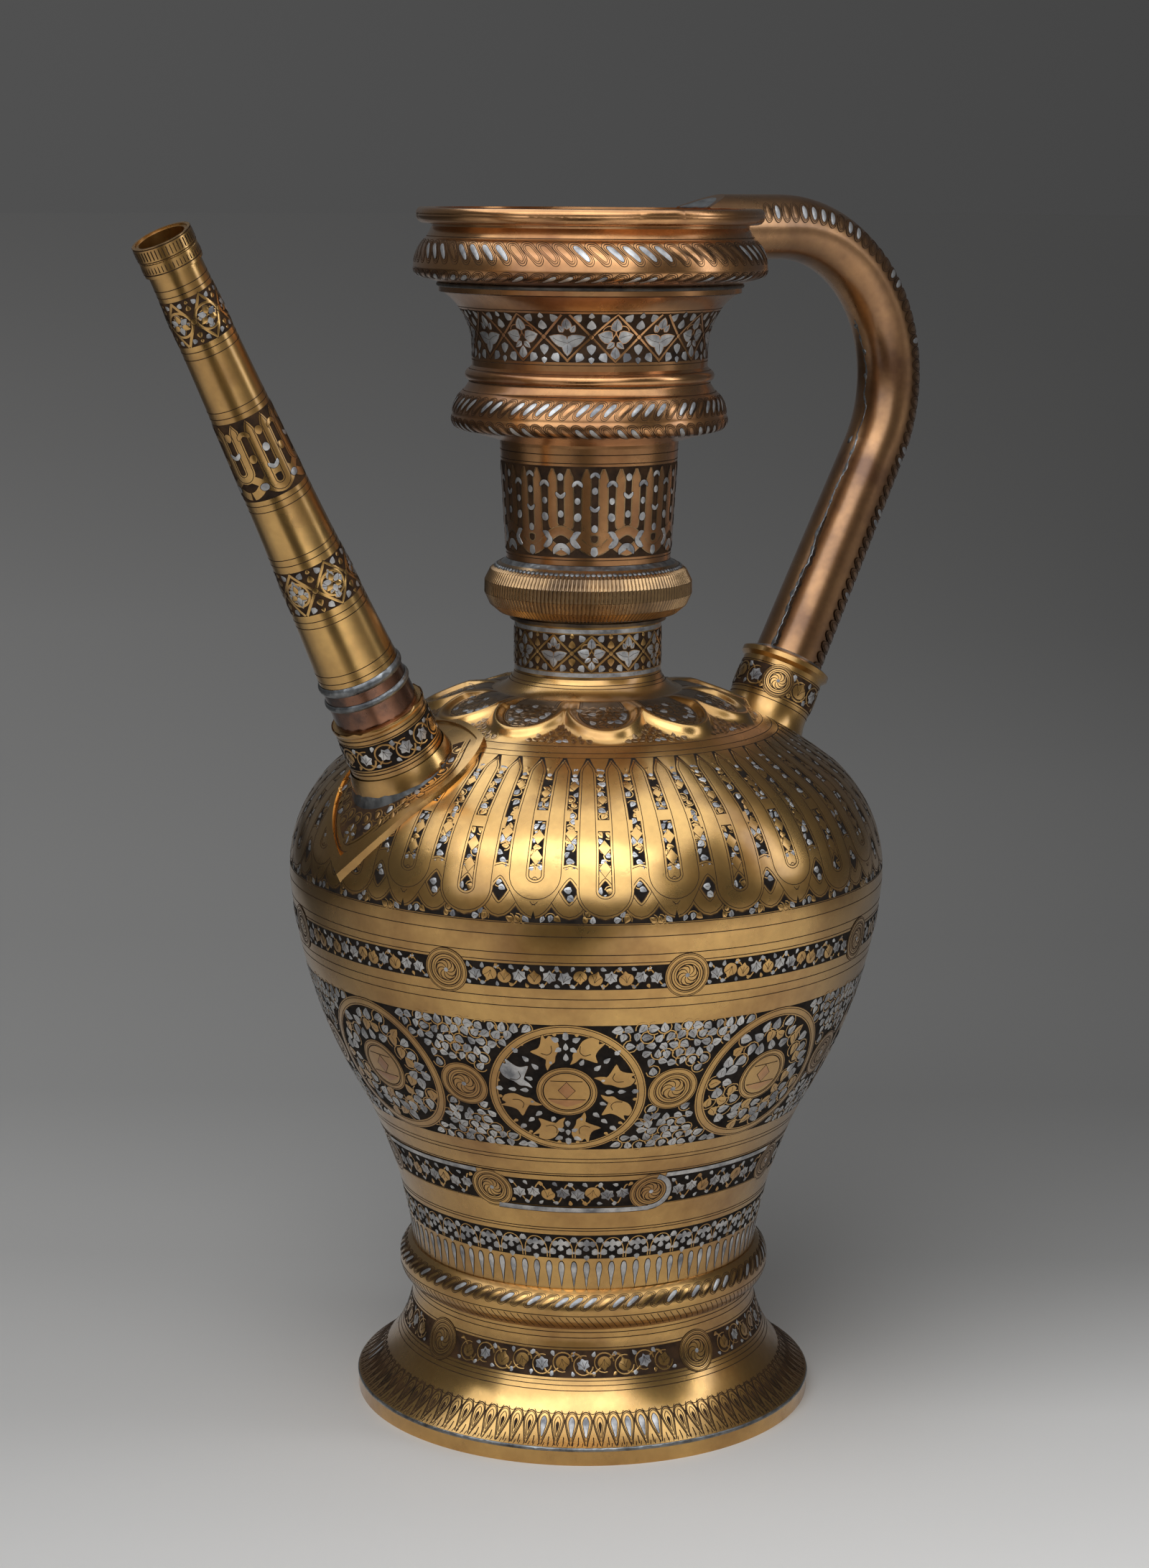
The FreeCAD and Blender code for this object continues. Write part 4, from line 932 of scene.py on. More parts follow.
def leaf_field(band, inside, pitch, seed, silver_share=1.0, copies=None, lift=0.12, vine="brass",
               plain="brass"):
    """Fill a field with leaves in uneven rows and fine curled stems between them."""
    random = np.random.default_rng(seed)
    rows = int(band.tall / (pitch * 0.87))
    for row in range(rows + 1):
        y = (row + 0.5) * band.tall / (rows + 1)
        radius = float(band.surface.radius(band.low + y))
        columns = max(2, int(round(band.wide * radius / band.middle / pitch)))
        for column in range(columns):
            x = ((column + 0.5 * (row % 2)) / columns - 0.5) * band.wide + random.uniform(-0.12, 0.12) * pitch
            up = y + random.uniform(-0.12, 0.12) * pitch
            if not inside(x * radius / band.middle, up):
                continue
            turn = random.uniform(0, 360)
            long = pitch * random.uniform(0.86, 1.06)
            shape = moved(leaf(long, long * random.uniform(0.68, 0.86)), -long / 2, 0)
            arc = np.linspace(0, math.pi * random.uniform(0.9, 1.7), 9)
            curl = np.stack([np.cos(arc), np.sin(arc)], -1) * pitch * 0.62
            if random.random() < 0.6:
                band.strip(vine, moved(curl, turn=turn + 90), 0.42, (x, up), lift - 0.03, 0.05, copies)
            metal_name = "silver" if random.random() < silver_share else plain
            band.plate(metal_name, moved(shape, turn=turn), (x, up), lift, 0.1, copies)
            vein = through([(-long * 0.34, -long * 0.06), (0, long * 0.06), (long * 0.2, 0)], 3)
            band.strip("groove", moved(vein, turn=turn), 0.15, (x, up), lift + 0.12, 0.0, copies)


def in_spandrel(x, y):
    """Clear of the medallions, of the rosettes' loops and of the band's edges."""
    from_middle = y - wide_band.tall / 2
    beside = wide_band.wide / 2
    near = min(math.hypot(x, from_middle), math.hypot(abs(x) - 2 * beside, from_middle))
    return (near > MEDALLION_RADIUS + STRAP_WIDTH / 2 + 1.5 and 1.3 < y < wide_band.tall - 1.3
            and math.hypot(abs(x) - beside, from_middle) > 10.6)


def in_medallion(x, y):
    """Inside the medallion's strap and outside its roundel."""
    return 13.2 < math.hypot(x, y - wide_band.tall / 2) < MEDALLION_RADIUS - STRAP_WIDTH / 2 - 1.5


leaf_field(wide_band, in_spandrel, 4.3, 21, 0.97)
BIRD_UNITS = [0, 2, 4, 6]
LEAF_UNITS = [1, 3, 5, 7]
leaf_field(wide_band, in_medallion, 5.6, 22, 0.62, LEAF_UNITS)
BIRD_LEAN = 24
bird = through([(-6.4, 1.2), (-5.2, 3.4), (-2.2, 4.3), (0.8, 3.2), (3.0, 2.9), (4.3, 1.6), (6.2, 0.6),
                (4.4, 0.0), (2.6, 0.3), (1.4, -1.4), (-0.2, -4.6), (-1.6, -2.4), (-3.6, -1.5), (-7.2, -1.0),
                (-5.2, 0.1)], 3, True)[:-1]
wing = through([(-3.6, 2.2), (-1.0, 2.4), (0.6, 0.8), (0.0, -1.6)], 4)
for k in range(8):
    turn = 22.5 + 45.0 * k
    at = (centre[0] + 18.9 * math.cos(math.radians(turn)), centre[1] + 18.9 * math.sin(math.radians(turn)))
    flip = np.array([1, -1 if k % 2 else 1])
    facing = moved(bird * flip, turn=turn + 180 - BIRD_LEAN, size=1.24)
    silver_units = 1 if k == 3 else 0
    wide_band.plate("silver", facing, at, 0.16, 0.1, BIRD_UNITS[:silver_units], edge=0.25)
    wide_band.plate("brass", facing, at, 0.16, 0.1, BIRD_UNITS[silver_units:], edge=0.25)
    feather = moved(wing * flip, turn=turn + 180 + (BIRD_LEAN if k % 2 else -BIRD_LEAN))
    wide_band.strip("groove", feather, 0.28, at, 0.29, 0.0, BIRD_UNITS)
    for offset, reach, long in ((0.0, 13.4, 3.0), (-22.5, 14.3, 3.4), (-22.5, 24.2, 3.6), (-14, 25.2, 2.4),
                                (-31, 25.2, 2.4), (-22.5, 19.0, 3.2)):
        spot = math.radians(turn + offset)
        wide_band.plate("silver" if reach < 20 or offset == -22.5 else "brass",
                        moved(leaf(long, long * 0.6), turn=turn + offset),
                        (centre[0] + reach * math.cos(spot), centre[1] + reach * math.sin(spot)),
                        0.14, 0.08, BIRD_UNITS)
for x in (-1.0, 1.0):
    foot_bar = np.array([(x * 6.6, -3.9), (x * 6.0, -4.9), (0, -7.4), (0, -3.9)])
    wide_band.plate("red_brass", foot_bar, centre, 0.2, 0.05)
lozenge = np.array([(0, 4.6), (3.2, 0.6), (0, -3.2), (-3.2, 0.6)])
wide_band.plate("red_brass", lozenge, centre, 0.22, 0.05, edge=0.3)
for y, half in ((5.0, 6.0), (-3.6, 7.0)):
    wide_band.strip("groove", np.array([(-half, y), (0, y), (half, y)]), 0.32, centre, 0.24, 0.0)
for side in (-1, 1):
    for x, y, turn, long in ((-2.4, 22.9, 150, 3.4), (2.4, 22.9, 30, 3.4), (0, 23.4, 90, 3.2),
                             (-1.6, 20.0, 215, 3.0), (1.6, 20.0, -35, 3.0)):
        wide_band.plate("silver", moved(leaf(long, long * 0.7), turn=turn * side),
                        (x, centre[1] + side * y), 0.2, 0.1, BIRD_UNITS)

# The broad shoulder band has tall straps of brass with pointed tips that rise from a row of loops.
# It is a plain generic pattern: every unit is its own mirror image, and silver leaves fill the black gaps.
STAFF_UNITS = 14
shoulder = Band(body_inlay, body, 220.2, 273.6, STAFF_UNITS, 3.5)
shoulder.ground()
STAFF_WIDTH = 7.8
staff_gap = shoulder.wide / 4
shoulder_half = shoulder.wide / 2


def squeeze_at(y):
    """How much narrower the domed band is at a place than in its middle."""
    return shoulder.surface.radius(shoulder.low + y) / shoulder.middle


def bowed(depth, tip, gap, steps, bow_steps, draw_in=lambda rise: np.ones_like(rise)):
    """The path of two tall staves joined by a round bow at the foot."""
    half = gap / 2
    rise = np.linspace(tip, depth + half, steps)
    narrow = draw_in(rise)
    bow = np.linspace(0, math.pi, bow_steps)[1:-1]
    left = np.stack([-half * narrow, rise], -1)
    bottom = np.stack([-half * narrow[-1] * np.cos(bow), depth + half - half * np.sin(bow)], -1)
    return np.vstack([left, bottom, left[::-1] * np.array([-1, 1])])


def pointed(path, width, taper, least=0.1):
    """The widths of a strap that runs out to points at its upper ends."""
    return width * np.clip((path[:, 1].max() - path[:, 1]) / taper, least, 1.0)


def crossing_waves(band, middle, swell):
    """Two waves that cross and close round the band."""
    x = np.linspace(-band.wide / 2, band.wide / 2, 25)
    return [np.stack([x, middle + swell * np.cos(x / band.wide * 2 * math.pi + shift)], -1)
            for shift in (0.0, math.pi)]


wave = np.linspace(-shoulder_half, shoulder_half, 41)
loops = []
for shift, lift in ((0.0, 0.11), (math.pi, 0.15)):
    rise = 11.6 + 7.2 * np.cos(wave / shoulder.wide * 4 * math.pi + shift)
    loops.append(np.stack([wave * squeeze_at(rise), rise], -1))
    shoulder.strip("brass", loops[-1], 5.8, (0, 0), lift, 0.03, edge=0.4, lines=0.75)
for x, depth in ((0.0, 6.0), (shoulder_half, 11.5)):
    staves = bowed(depth, shoulder.tall - 1.6, staff_gap, 26, 15, squeeze_at)
    slim = np.interp(staves[:, 1], [0, shoulder.tall * 0.4, shoulder.tall], [1.0, 1.0, 0.66])
    shoulder.strip("brass", staves, pointed(staves, STAFF_WIDTH, 0.7 * STAFF_WIDTH, 0.05) * slim, (x, 0), 0.2,
                   0.05, edge=0.34, lines=0.8)
for x, y in ((0.0, 37.0), (shoulder_half, 41.0)):
    bar = np.array([(-staff_gap * 0.9, 0), (0, 0), (staff_gap * 0.9, 0)])
    shoulder.strip("brass", bar, 4.6, (x, y), 0.24, 0.03, edge=0.34)
for x, heights in ((0.0, (20.0, 28.0, 49.0)), (shoulder_half, (24.0, 32.0, 52.0)),
                   (staff_gap, (33.5, 56.0)), (-staff_gap, (33.5, 56.0))):
    for i, y in enumerate(heights):
        diamond = np.array([(0, 3.1), (2.4, 0), (0, -3.1), (-2.4, 0)]) * (0.8 if y > 45 else 1.0)
        shoulder.plate("brass", diamond, (x, y), 0.16, 0.06, edge=0.3)


def in_shoulder_gap(x, y):
    """The gaps between the staves, and the strip round the loops."""
    if y < 19:
        return min(np.hypot(loop[:, 0] - x, loop[:, 1] - y).min() for loop in loops) > 3.7
    gap_place = (x / float(squeeze_at(y)) + staff_gap / 2) % staff_gap - staff_gap / 2
    return abs(gap_place) < staff_gap * 0.14 and y < shoulder.tall - 5


leaf_field(shoulder, in_shoulder_gap, 3.1, 31, 0.62, lift=0.07)
tips = Band(body_inlay, body, 266.0, 273.4, STAFF_UNITS * 4, 3.5)
tips.plate("brass", np.array([(-3.6, tips.tall), (3.6, tips.tall), (0.0, 1.2)]), lift=0.13, dome=0.04,
           edge=0.3)
tips.plate("silver", circle(0.9, 8), (0.0, 4.6), 0.2, 0.08)

# Each petal of the shoulder holds a field of leaves, and a small leafy corner lies between two petals.
# The metal draws up to the lower neck in a round hollow with engraved lines.
petals = Band(body_inlay, body, 277.6, 291.6, PETAL_COUNT, PETAL_TURN)


def petal_place(y):
    """Reach on the dome at a height of the petals' band."""
    return float(body.radius(petals.low + y))


def in_petal(x, y):
    """The low field inside a petal's swelling."""
    reach = petal_place(y)
    beyond = math.hypot(x, reach - PETAL_REACH) if reach > PETAL_REACH else 0.0
    beside = (PETAL_HALF - 2.8) * min(reach / PETAL_REACH, 1.0)
    return beyond < PETAL_HALF - 3.2 and abs(x) < beside and y < 24


def in_corner(x, y):
    """The small leafy corner between two petals, outside their swellings."""
    reach = petal_place(y)
    turn = petal_pitch / 2 - abs(x) / reach
    real = math.hypot(petal_pitch / 2 * reach - abs(reach * turn), reach - PETAL_REACH)
    return reach > PETAL_REACH + 4 and real > PETAL_HALF + 4.6


rows = np.linspace(-14.0, petals.tall + 8.0, 70)
row_reach = body.radius(petals.low + rows)
PANEL_HALF = PETAL_HALF - 2.6
round_half = np.sqrt(np.clip(PANEL_HALF**2 - (row_reach - PETAL_REACH)**2, 0, None))
row_half = np.where(row_reach > PETAL_REACH, round_half, PANEL_HALF * row_reach / PETAL_REACH)
inner_rows = (row_half > 0.4) & (row_reach > 37.5)
rows, row_half = rows[inner_rows], row_half[inner_rows]
sides = np.linspace(-1, 1, 13)
panel = np.stack([row_half[:, None] * sides[None, :], np.repeat(rows[:, None], 13, 1)], -1).reshape(-1, 2)
petals.shape("dark_brass", panel, np.full(len(panel), GROUND_LIFT), grid_faces(len(rows), 13))
rim = np.vstack([np.stack([row_half, rows], -1)[::-1], np.stack([-row_half, rows], -1)])
petals.strip("groove", rim, 0.4, lift=LINE_LIFT)
petals.strip("groove", rim * np.array([0.88, 1.0]), 0.2, lift=LINE_LIFT)
leaf_field(petals, in_petal, 3.4, 51, 0.22, vine="cord", plain="cord")
leaf_field(petals, in_corner, 3.0, 52, 0.1, plain="cord")
body_inlay.finish()

# The lower neck, in one with the body, carries a lattice of straps and trefoils between two silver wires.
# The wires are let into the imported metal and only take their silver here.
neck_inlay = Inlay("neck")


def diaper(band, metal_name, strap, leaf_scale=1.0, fill="silver"):
    """A lattice of crossing straps over black, with silver leaves in every lozenge and corner."""
    wide, tall = band.wide, band.tall
    half = wide / 2
    band.ground("groove")
    x = np.linspace(-half, half, 21)
    for side, lift in ((1, 0.16), (-1, 0.2)):
        y = tall / 2 + side * (tall / 2 - 0.3) * (1 - 2 * np.abs(x / half))
        band.strip(metal_name, np.stack([x, y], -1), strap, (0, 0), lift, 0.03, edge=0.28)
    for place in (-half / 2, half / 2):
        band.plate(metal_name, circle(strap * 1.2, 12), (place, tall / 2), 0.25, 0.05, edge=0.25)
    unit = min(half, tall) * 0.5 * leaf_scale
    for centre, up, spots in (
            (0.0, 1, ((0, 0.5, 90, 0.46, 1.0), (-0.4, 0.02, 165, 0.5, 1.1), (0.4, 0.02, 15, 0.5, 1.1),
                      (0, -0.62, 90, 0.4, 1.0), (-0.2, -0.34, 220, 0.3, 0.8), (0.2, -0.34, -40, 0.3, 0.8))),
            (half, -1, ((-0.34, 0.12, 200, 0.66, 0.8), (0.34, 0.12, -20, 0.66, 0.8),
                        (0, -0.56, 270, 0.42, 1.0), (0, 0.5, 90, 0.4, 1.1),
                        (-0.24, -0.34, 240, 0.28, 0.9), (0.24, -0.34, -60, 0.28, 0.9)))):
        for dx, dy, turn, long, full in spots:
            shape = moved(leaf(long * unit * 1.2, long * unit * full * 0.92), -long * unit * 0.6)
            middle = (centre + dx * unit, tall / 2 + up * dy * unit)
            band.strip(metal_name, closed(moved(shape, turn=turn * up)), 0.44, middle, 0.15, 0.0)
            band.plate("silver", moved(shape, turn=turn * up), middle, 0.18, 0.1)
            vein = np.array([(-0.5, 0.0), (0.0, 0.06), (0.36, 0.0)]) * long * unit
            band.strip("groove", moved(vein, turn=turn * up), 0.15, middle, 0.3, 0.0)
        for dx in (-0.26, 0.26):
            arc = np.linspace(0.2, 1.4 * math.pi, 10)
            curl = np.stack([np.cos(arc) * (1 if dx > 0 else -1), np.sin(arc)], -1) * unit * 0.26
            band.strip(metal_name, curl, 0.45, (centre + dx * unit, tall / 2 + up * 0.2 * unit), 0.14, 0.06)
    for x in (-half / 2, half / 2):
        for side in (-1, 1):
            edge_y = tall / 2 + side * tall * 0.38
            for dx, dy, long in ((0, -0.26, 0.44), (-0.44, 0.06, 0.42), (0.44, 0.06, 0.42), (0, 0.16, 0.28)):
                shape = moved(leaf(long * unit, long * unit * 0.86), -long * unit / 2)
                band.plate(fill if dx == 0 else "silver", moved(shape, turn=90 * side + dx * 80),
                           (x + dx * unit * 1.1, edge_y + side * dy * unit), 0.15, 0.08, edge=0.16)


NECK_PAINTED_SHADE = 316.2
neck_band = Band(neck_inlay, body, 298.9, 313.3, 6, 3.0)
diaper(neck_band, "brass", 0.8, 1.08, fill="brass")
lines_round(neck_inlay, body, (292.4, 293.6, 295.8))
# Painted shade: dark brass on the top of the neck, under the overhanging collar.
ring(neck_inlay, body, "dark_brass", body.at(NECK_PAINTED_SHADE), body.way[-1] - 0.05, EDGE_LIFT)
neck_inlay.finish()
dress("silver", "neck_silver_lines")

# The corded collar is a hollow bulge cut with fine slanted cords all the way round.
# A small hatched rope lies on its top, where the neck's tube is soldered in.
CORD_COUNT = 152
cords = Turned("corded_collar")
cord_low, cord_high = cords.at(318.6), cords.at(337.6)


def cord_relief(angle, way):
    """Round cords with sharp gaps, a little slanted."""
    slant = (way - cord_low) / (cord_high - cord_low) * 0.9 * 2 * math.pi / CORD_COUNT
    wave = np.abs(np.sin((angle - slant) * CORD_COUNT / 2))
    fade = np.clip((way - cord_low) / 2.0, 0, 1) * np.clip((cord_high - way) / 2.0, 0, 1)
    return fade * (0.62 * wave ** 0.7 - 0.3)


cords.relief = cord_relief
cords.skin("cord_skin", 0.0, cords.way[-1], "cord", CORD_COUNT * 10)
cord_inlay = Inlay("cord")
cords.relief = None
# Painted shade: dark brass on the underside of the collar, below its cords.
ring(cord_inlay, cords, "dark_brass", 0.05, cords.at(318.5), 0.34)
gaps = Band(cord_inlay, cords, 318.8, 337.4, CORD_COUNT, -math.degrees(cords.front))
rise = np.linspace(0.0, 1.0, 14)
gap_reach = cords.radius(gaps.low + rise * gaps.tall) / gaps.middle
gap_path = np.stack([0.9 * gaps.wide * rise * gap_reach, rise * gaps.tall], -1)
gaps.strip("groove", gap_path, 0.5 * np.sin(np.pi * np.clip(rise, 0.08, 0.92)) ** 0.5, lift=-0.16, crown=0.0)
top_hatch = Band(cord_inlay, cords, 336.9, 338.9, 110)
top_hatch.plate("solder", moved(circle(0.95, 10), 0, 0.8), lift=0.1, dome=0.3, edge=0.2)
cord_inlay.finish()
dress("cord", "corded_collar")

# The neck's tube is copper-red brass with a broad band of upright straps and silver crescents on black.
# It stands in a solder joint on the collar, under engraved lines.
tube = Turned("neck_tube")
tube.skin("tube_skin", tube.at(338.9), tube.at(385.3), "red_brass")
tube_inlay = Inlay("tube")
lines_round(tube_inlay, tube, (340.4, 342.6, 379.8, 383.0))
tube_band = Band(tube_inlay, tube, 343.6, 378.7, 8, 4.0)
tube_band.ground("groove")
tube_gap = tube_band.wide / 4
for x, depth in ((0.0, 4.0), (tube_band.wide / 2, 10.5)):
    path = bowed(depth, tube_band.tall - 0.8, tube_gap, 14, 11)
    width = pointed(path, 3.1, 3.4)
    tube_band.strip("cord", path, width + 0.9, (x, 0), 0.15, 0.02, edge=0.3)
    tube_band.strip("red_brass", path, width, (x, 0), 0.19, 0.05)
for curve, lift in zip(crossing_waves(tube_band, 6.6, 4.0), (0.17, 0.23)):
    tube_band.strip("cord", curve, 3.8, (0, 0), lift, 0.02, edge=0.3)
    tube_band.strip("red_brass", curve, 2.9, (0, 0), lift + 0.04, 0.04)
crescent = through([(-2.6, 1.2), (-2.9, -0.6), (-1.2, -2.4), (1.2, -2.4), (2.9, -0.6), (2.6, 1.2),
                    (1.3, -0.5), (-1.3, -0.5)], 3, True)[:-1]
blob = through([(0, 2.4), (-1.7, 1.0), (-1.5, -1.2), (0, -2.0), (1.5, -1.2), (1.7, 1.0)], 3, True)[:-1]
for gap, y, shape, turn, size in (
        (0, 11.2, blob, 0, 0.7), (0, 19.4, crescent, 0, 0.66), (0, 25.8, blob, 0, 0.66),
        (0, 31.4, crescent, 180, 0.66), (0, 2.6, blob, 180, 0.9), (1, 15.6, blob, 20, 0.8),
        (1, 22.0, blob, 180, 0.62), (1, 28.0, crescent, 180, 0.72), (1, 7.0, crescent, 90, 1.15),
        (2, 16.8, blob, 0, 0.66), (2, 24.6, crescent, 0, 0.7), (2, 31.0, blob, 0, 0.7),
        (2, 2.6, crescent, 180, 1.2)):
    for side in (1, -1) if gap == 1 else (1,):
        tube_band.plate("silver", moved(shape, turn=side * turn, size=size), (side * gap * tube_gap, y), 0.26,
                        0.12, edge=0.24)
tube_inlay.finish()
dress("red_brass", "neck_tube")
dress("solder", "neck_solder")

# The mouth is built of a round bulb, a hollow-sided cup and an upper ring, soldered one on the other.
# Bulb and ring have roped rows over and under a worn ridge, and the cup has a lattice with silver leaves.
bulb = Turned("mouth_bulb")
bulb.skin("bulb_skin", 0.0, bulb.way[-1], "red_brass")
mouth_inlay = Inlay("mouth")
SILVER_OFTEN = (1, 1, 0, 1, 1, 1, 0, 1, 1, 0, 1, 1)
SILVER_SOME = (1, 0, 1, 1, 0, 0, 0, 1, 0, 1, 1, 1, 0, 0)
SILVER_GROUPS = (0, 1, 1, 1, 1, 0, 0, 0, 0, 0, 0, 1, 1, 1, 0, 1, 1, 1, 1, 0, 0, 0)
rope_row(mouth_inlay, bulb, 397.4, 404.4, 64, 0.95, "red_brass", SILVER_OFTEN)
rope_row(mouth_inlay, bulb, 390.4, 395.8, 64, -0.95, "red_brass", SILVER_SOME)
lines_round(mouth_inlay, bulb, (405.6,))
cup = Turned("mouth_cup")
cup.skin("cup_skin", 0.0, cup.at(446.1), "red_brass")
lines_round(mouth_inlay, cup, (409.2, 413.9, 417.5, 437.8, 443.4))
diaper(Band(mouth_inlay, cup, 418.6, 436.9, 8, 12.0), "red_brass", 0.8, 1.06)
mouth_ring = Turned("mouth_ring")
mouth_ring.skin("ring_skin", 0.0, mouth_ring.way[-1], "red_brass")
rope_row(mouth_inlay, mouth_ring, 448.6, 452.2, 68, 0.95, "red_brass", SILVER_SOME)
rope_row(mouth_inlay, mouth_ring, 454.6, 463.2, 68, -1.0, "red_brass", SILVER_GROUPS)
lines_round(mouth_inlay, mouth_ring, (464.4,))
mouth_inlay.finish()
lip = Turned("rim_lip")
lip_low = lip.at(469.8)


def lip_wave(angle, way):
    """The beaten, uneven edge of the rolled lip."""
    rise = np.clip((way - lip_low) / 3.0, 0, 1)
    swing = (0.35 * np.sin(3 * angle + 0.6) + 0.3 * np.sin(7 * angle + 2.0) + 0.22 * np.sin(13 * angle)
             + 0.16 * np.sin(29 * angle + 1.1))
    return rise * (swing * 0.7 - 0.5)


lip.relief = lip_wave
lip.skin("lip_skin", 0.0, lip.way[-1], "red_brass", 540)
dress("red_brass", "mouth_bulb", "mouth_cup", "mouth_ring", "rim_lip")
dress("dark_solder", "mouth_solder")

# The spout is a long taper with three engraved bands, a ring at its tip and a copper sleeve at its root.
# The sleeve is a repair that is held by two beads of solder, and the collar round it has a torn upper edge.
SPOUT_TILT = 27.0
SPOUT_LENGTH = 220.0
tip_place = Vector((-188.478, 0.0, 461.733))
spout_axis = Vector((-math.sin(math.radians(SPOUT_TILT)), 0.0, math.cos(math.radians(SPOUT_TILT))))
spout_root = tip_place - SPOUT_LENGTH * spout_axis
spout_seat = Matrix.Translation(spout_root * MM) @ Matrix.Rotation(-math.radians(SPOUT_TILT), 4, "Y")
spout = Turned("spout_tube", seat=spout_seat)
spout.skin("spout_skin", spout.at(45.6), spout.at(213.6), "brass", 144)
spout_inlay = Inlay("spout")
lines_round(spout_inlay, spout, (47.4, 50.6, 71.0, 73.6, 97.0, 99.6, 119.2, 121.8, 157.0, 159.6, 180.6, 183.4,
                                 204.8, 207.4), 0.3)
for low, high in ((76.4, 94.2), (185.6, 203.0)):
    spout_lattice = Band(spout_inlay, spout, low, high, 3, 20.0)
    diaper(spout_lattice, "brass", 1.0, 1.0, fill="brass")
    for x in (0.0, spout_lattice.wide / 2):
        middle = (x, spout_lattice.tall / 2)
        spout_lattice.strip("brass", closed(circle(4.6, 28)), 0.9, middle, 0.2, 0.05, edge=0.25)
        for i in range(6):
            petal = moved(moved(leaf(3.4, 2.4), 0.6), turn=60.0 * i + 30.0)
            spout_lattice.plate("brass" if i % 2 else "silver", petal, middle, 0.3, 0.1, edge=0.2)
spout_band = Band(spout_inlay, spout, 123.8, 155.0, 3, 15.0)
spout_band.ground("groove")
spout_gap = spout_band.wide / 4
for x, depth in ((0.0, 3.0), (spout_band.wide / 2, 9.0)):
    path = bowed(depth, spout_band.tall - 0.6, spout_gap, 14, 11)
    spout_band.strip("brass", path, pointed(path, 3.6, 3.0), (x, 0), 0.19, 0.05, edge=0.3, lines=0.6)
for curve, lift in zip(crossing_waves(spout_band, 6.0, 3.6), (0.18, 0.22)):
    spout_band.strip("brass", curve, 3.0, (0, 0), lift, 0.02, edge=0.3)
for gap, y, shape, turn, size, metal_name in (
        (0, 12, crescent, 0, 0.75, "silver"), (0, 18.5, blob, 0, 0.75, "silver"),
        (0, 25.5, blob, 180, 0.8, "brass"), (1, 16, blob, 20, 0.8, "brass"), (-1, 16, blob, -20, 0.8, "brass"),
        (1, 25, crescent, 180, 0.8, "brass"), (-1, 25, crescent, 180, 0.8, "brass"),
        (2, 19, crescent, 0, 0.75, "silver"), (2, 26, blob, 180, 0.8, "brass"),
        (1, 5, blob, 90, 0.8, "silver"), (-1, 5, blob, 90, 0.8, "silver")):
    spout_band.plate(metal_name, moved(shape, turn=turn, size=size), (gap * spout_gap, y), 0.26, 0.12,
                     edge=0.24)
ferrule = Turned("spout_ferrule", seat=spout_seat)
for low, high in ((214.6, 218.4), (219.4, 223.2)):
    hatch = Band(spout_inlay, ferrule, low, high, 48)
    hatch.strip("groove", np.array([(0, 0.2), (0, hatch.tall - 0.2)]), 0.34, lift=0.05)
lines_round(spout_inlay, ferrule, (214.2, 218.9, 223.8), 0.36)
collar = Turned("spout_collar", seat=spout_seat)
lines_round(spout_inlay, collar, (8.6, 10.0, 21.6, 23.4), 0.32)
collar_band = Band(spout_inlay, collar, 10.8, 21.0, 1)
collar_band.ground()
vine_band(collar_band, "brass", ("leaf", "leaf", "bud"), 8.4, 0.65, 0.0, 0.74, 7, scroll=0.75)
torn = np.random.default_rng(71)
EDGE_STEPS = 180
collar_edge = collar.at(26.3)
edge_angles = np.linspace(0, 2 * math.pi, EDGE_STEPS + 1)[:-1]
jags = 0.5 + 0.9 * np.abs(np.interp(np.arange(EDGE_STEPS), np.arange(0, EDGE_STEPS + 1, 6),
                                    torn.uniform(-1, 1, 31), period=EDGE_STEPS))
rows = []
for share, lift in ((0.0, 0.02), (0.35, 0.5), (0.8, 0.55), (1.0, 0.35)):
    rows.append(collar.place(edge_angles, np.full(EDGE_STEPS, collar_edge - 1.6), lift)
                + np.array(spout_axis)[None, :] * (share * (1.2 + jags))[:, None])
spout_inlay.lay("brass", np.vstack(rows), grid_faces(len(rows), EDGE_STEPS, True))


class Unrolled:
    """A surface that is counted in plain lengths and not in angles."""
    unit = 1.0
    front = 0.0

    def radius(self, way):
        return np.ones_like(np.asarray(way, float))


class Draped(Unrolled):
    """A sheet formed over the shoulder: x and y are counted round the spout's root, square to its axis."""
    whole = 100.0

    def __init__(self, node, seat):
        self.seat = seat
        self.reach = 0.08
        self.sheet = solid_of(node, seat.inverted())

    def place(self, along, across, lift):
        along, across, lift = np.broadcast_arrays(along, across, lift)
        points = np.empty(along.shape + (3,))
        for spot in np.ndindex(along.shape):
            start = Vector((along[spot] * MM, across[spot] * MM, self.reach))
            hit, normal = self.sheet.ray_cast(start, Vector((0, 0, -1)))[:2]
            if hit is None:
                hit, normal = self.sheet.find_nearest(Vector((start.x, start.y, 0.0)))[:2]
            points[spot] = (self.seat @ (hit + normal * ((lift[spot] + SKIN_LIFT) * MM))) / MM
        return points


shield = Band(spout_inlay, Draped("spout_escutcheon", spout_seat), 0.0, 10.0, 1, heights=False)
shield_edge = through([(22.0, 17.5), (3.8, 26.0), (-15.6, 20.4), (-31.0, 11.2), (-37.6, 0.0), (-31.0, -11.2),
                       (-15.6, -20.4), (3.8, -26.0), (22.0, -17.5)], 10)
edge_reach = np.hypot(shield_edge[:, 0], shield_edge[:, 1]) * 0.93
edge_turn = np.unwrap(np.arctan2(shield_edge[:, 1], shield_edge[:, 0]))
turns = np.linspace(edge_turn[0], edge_turn[-1], 121)
shares = np.linspace(0, 1, 9)
reach = 21.0 + (np.interp(turns, edge_turn, edge_reach)[None, :] - 21.0) * shares[:, None]
flat = np.stack([reach * np.cos(turns), reach * np.sin(turns)], -1).reshape(-1, 2)
shield_faces = grid_faces(len(shares), len(turns))[:, ::-1]
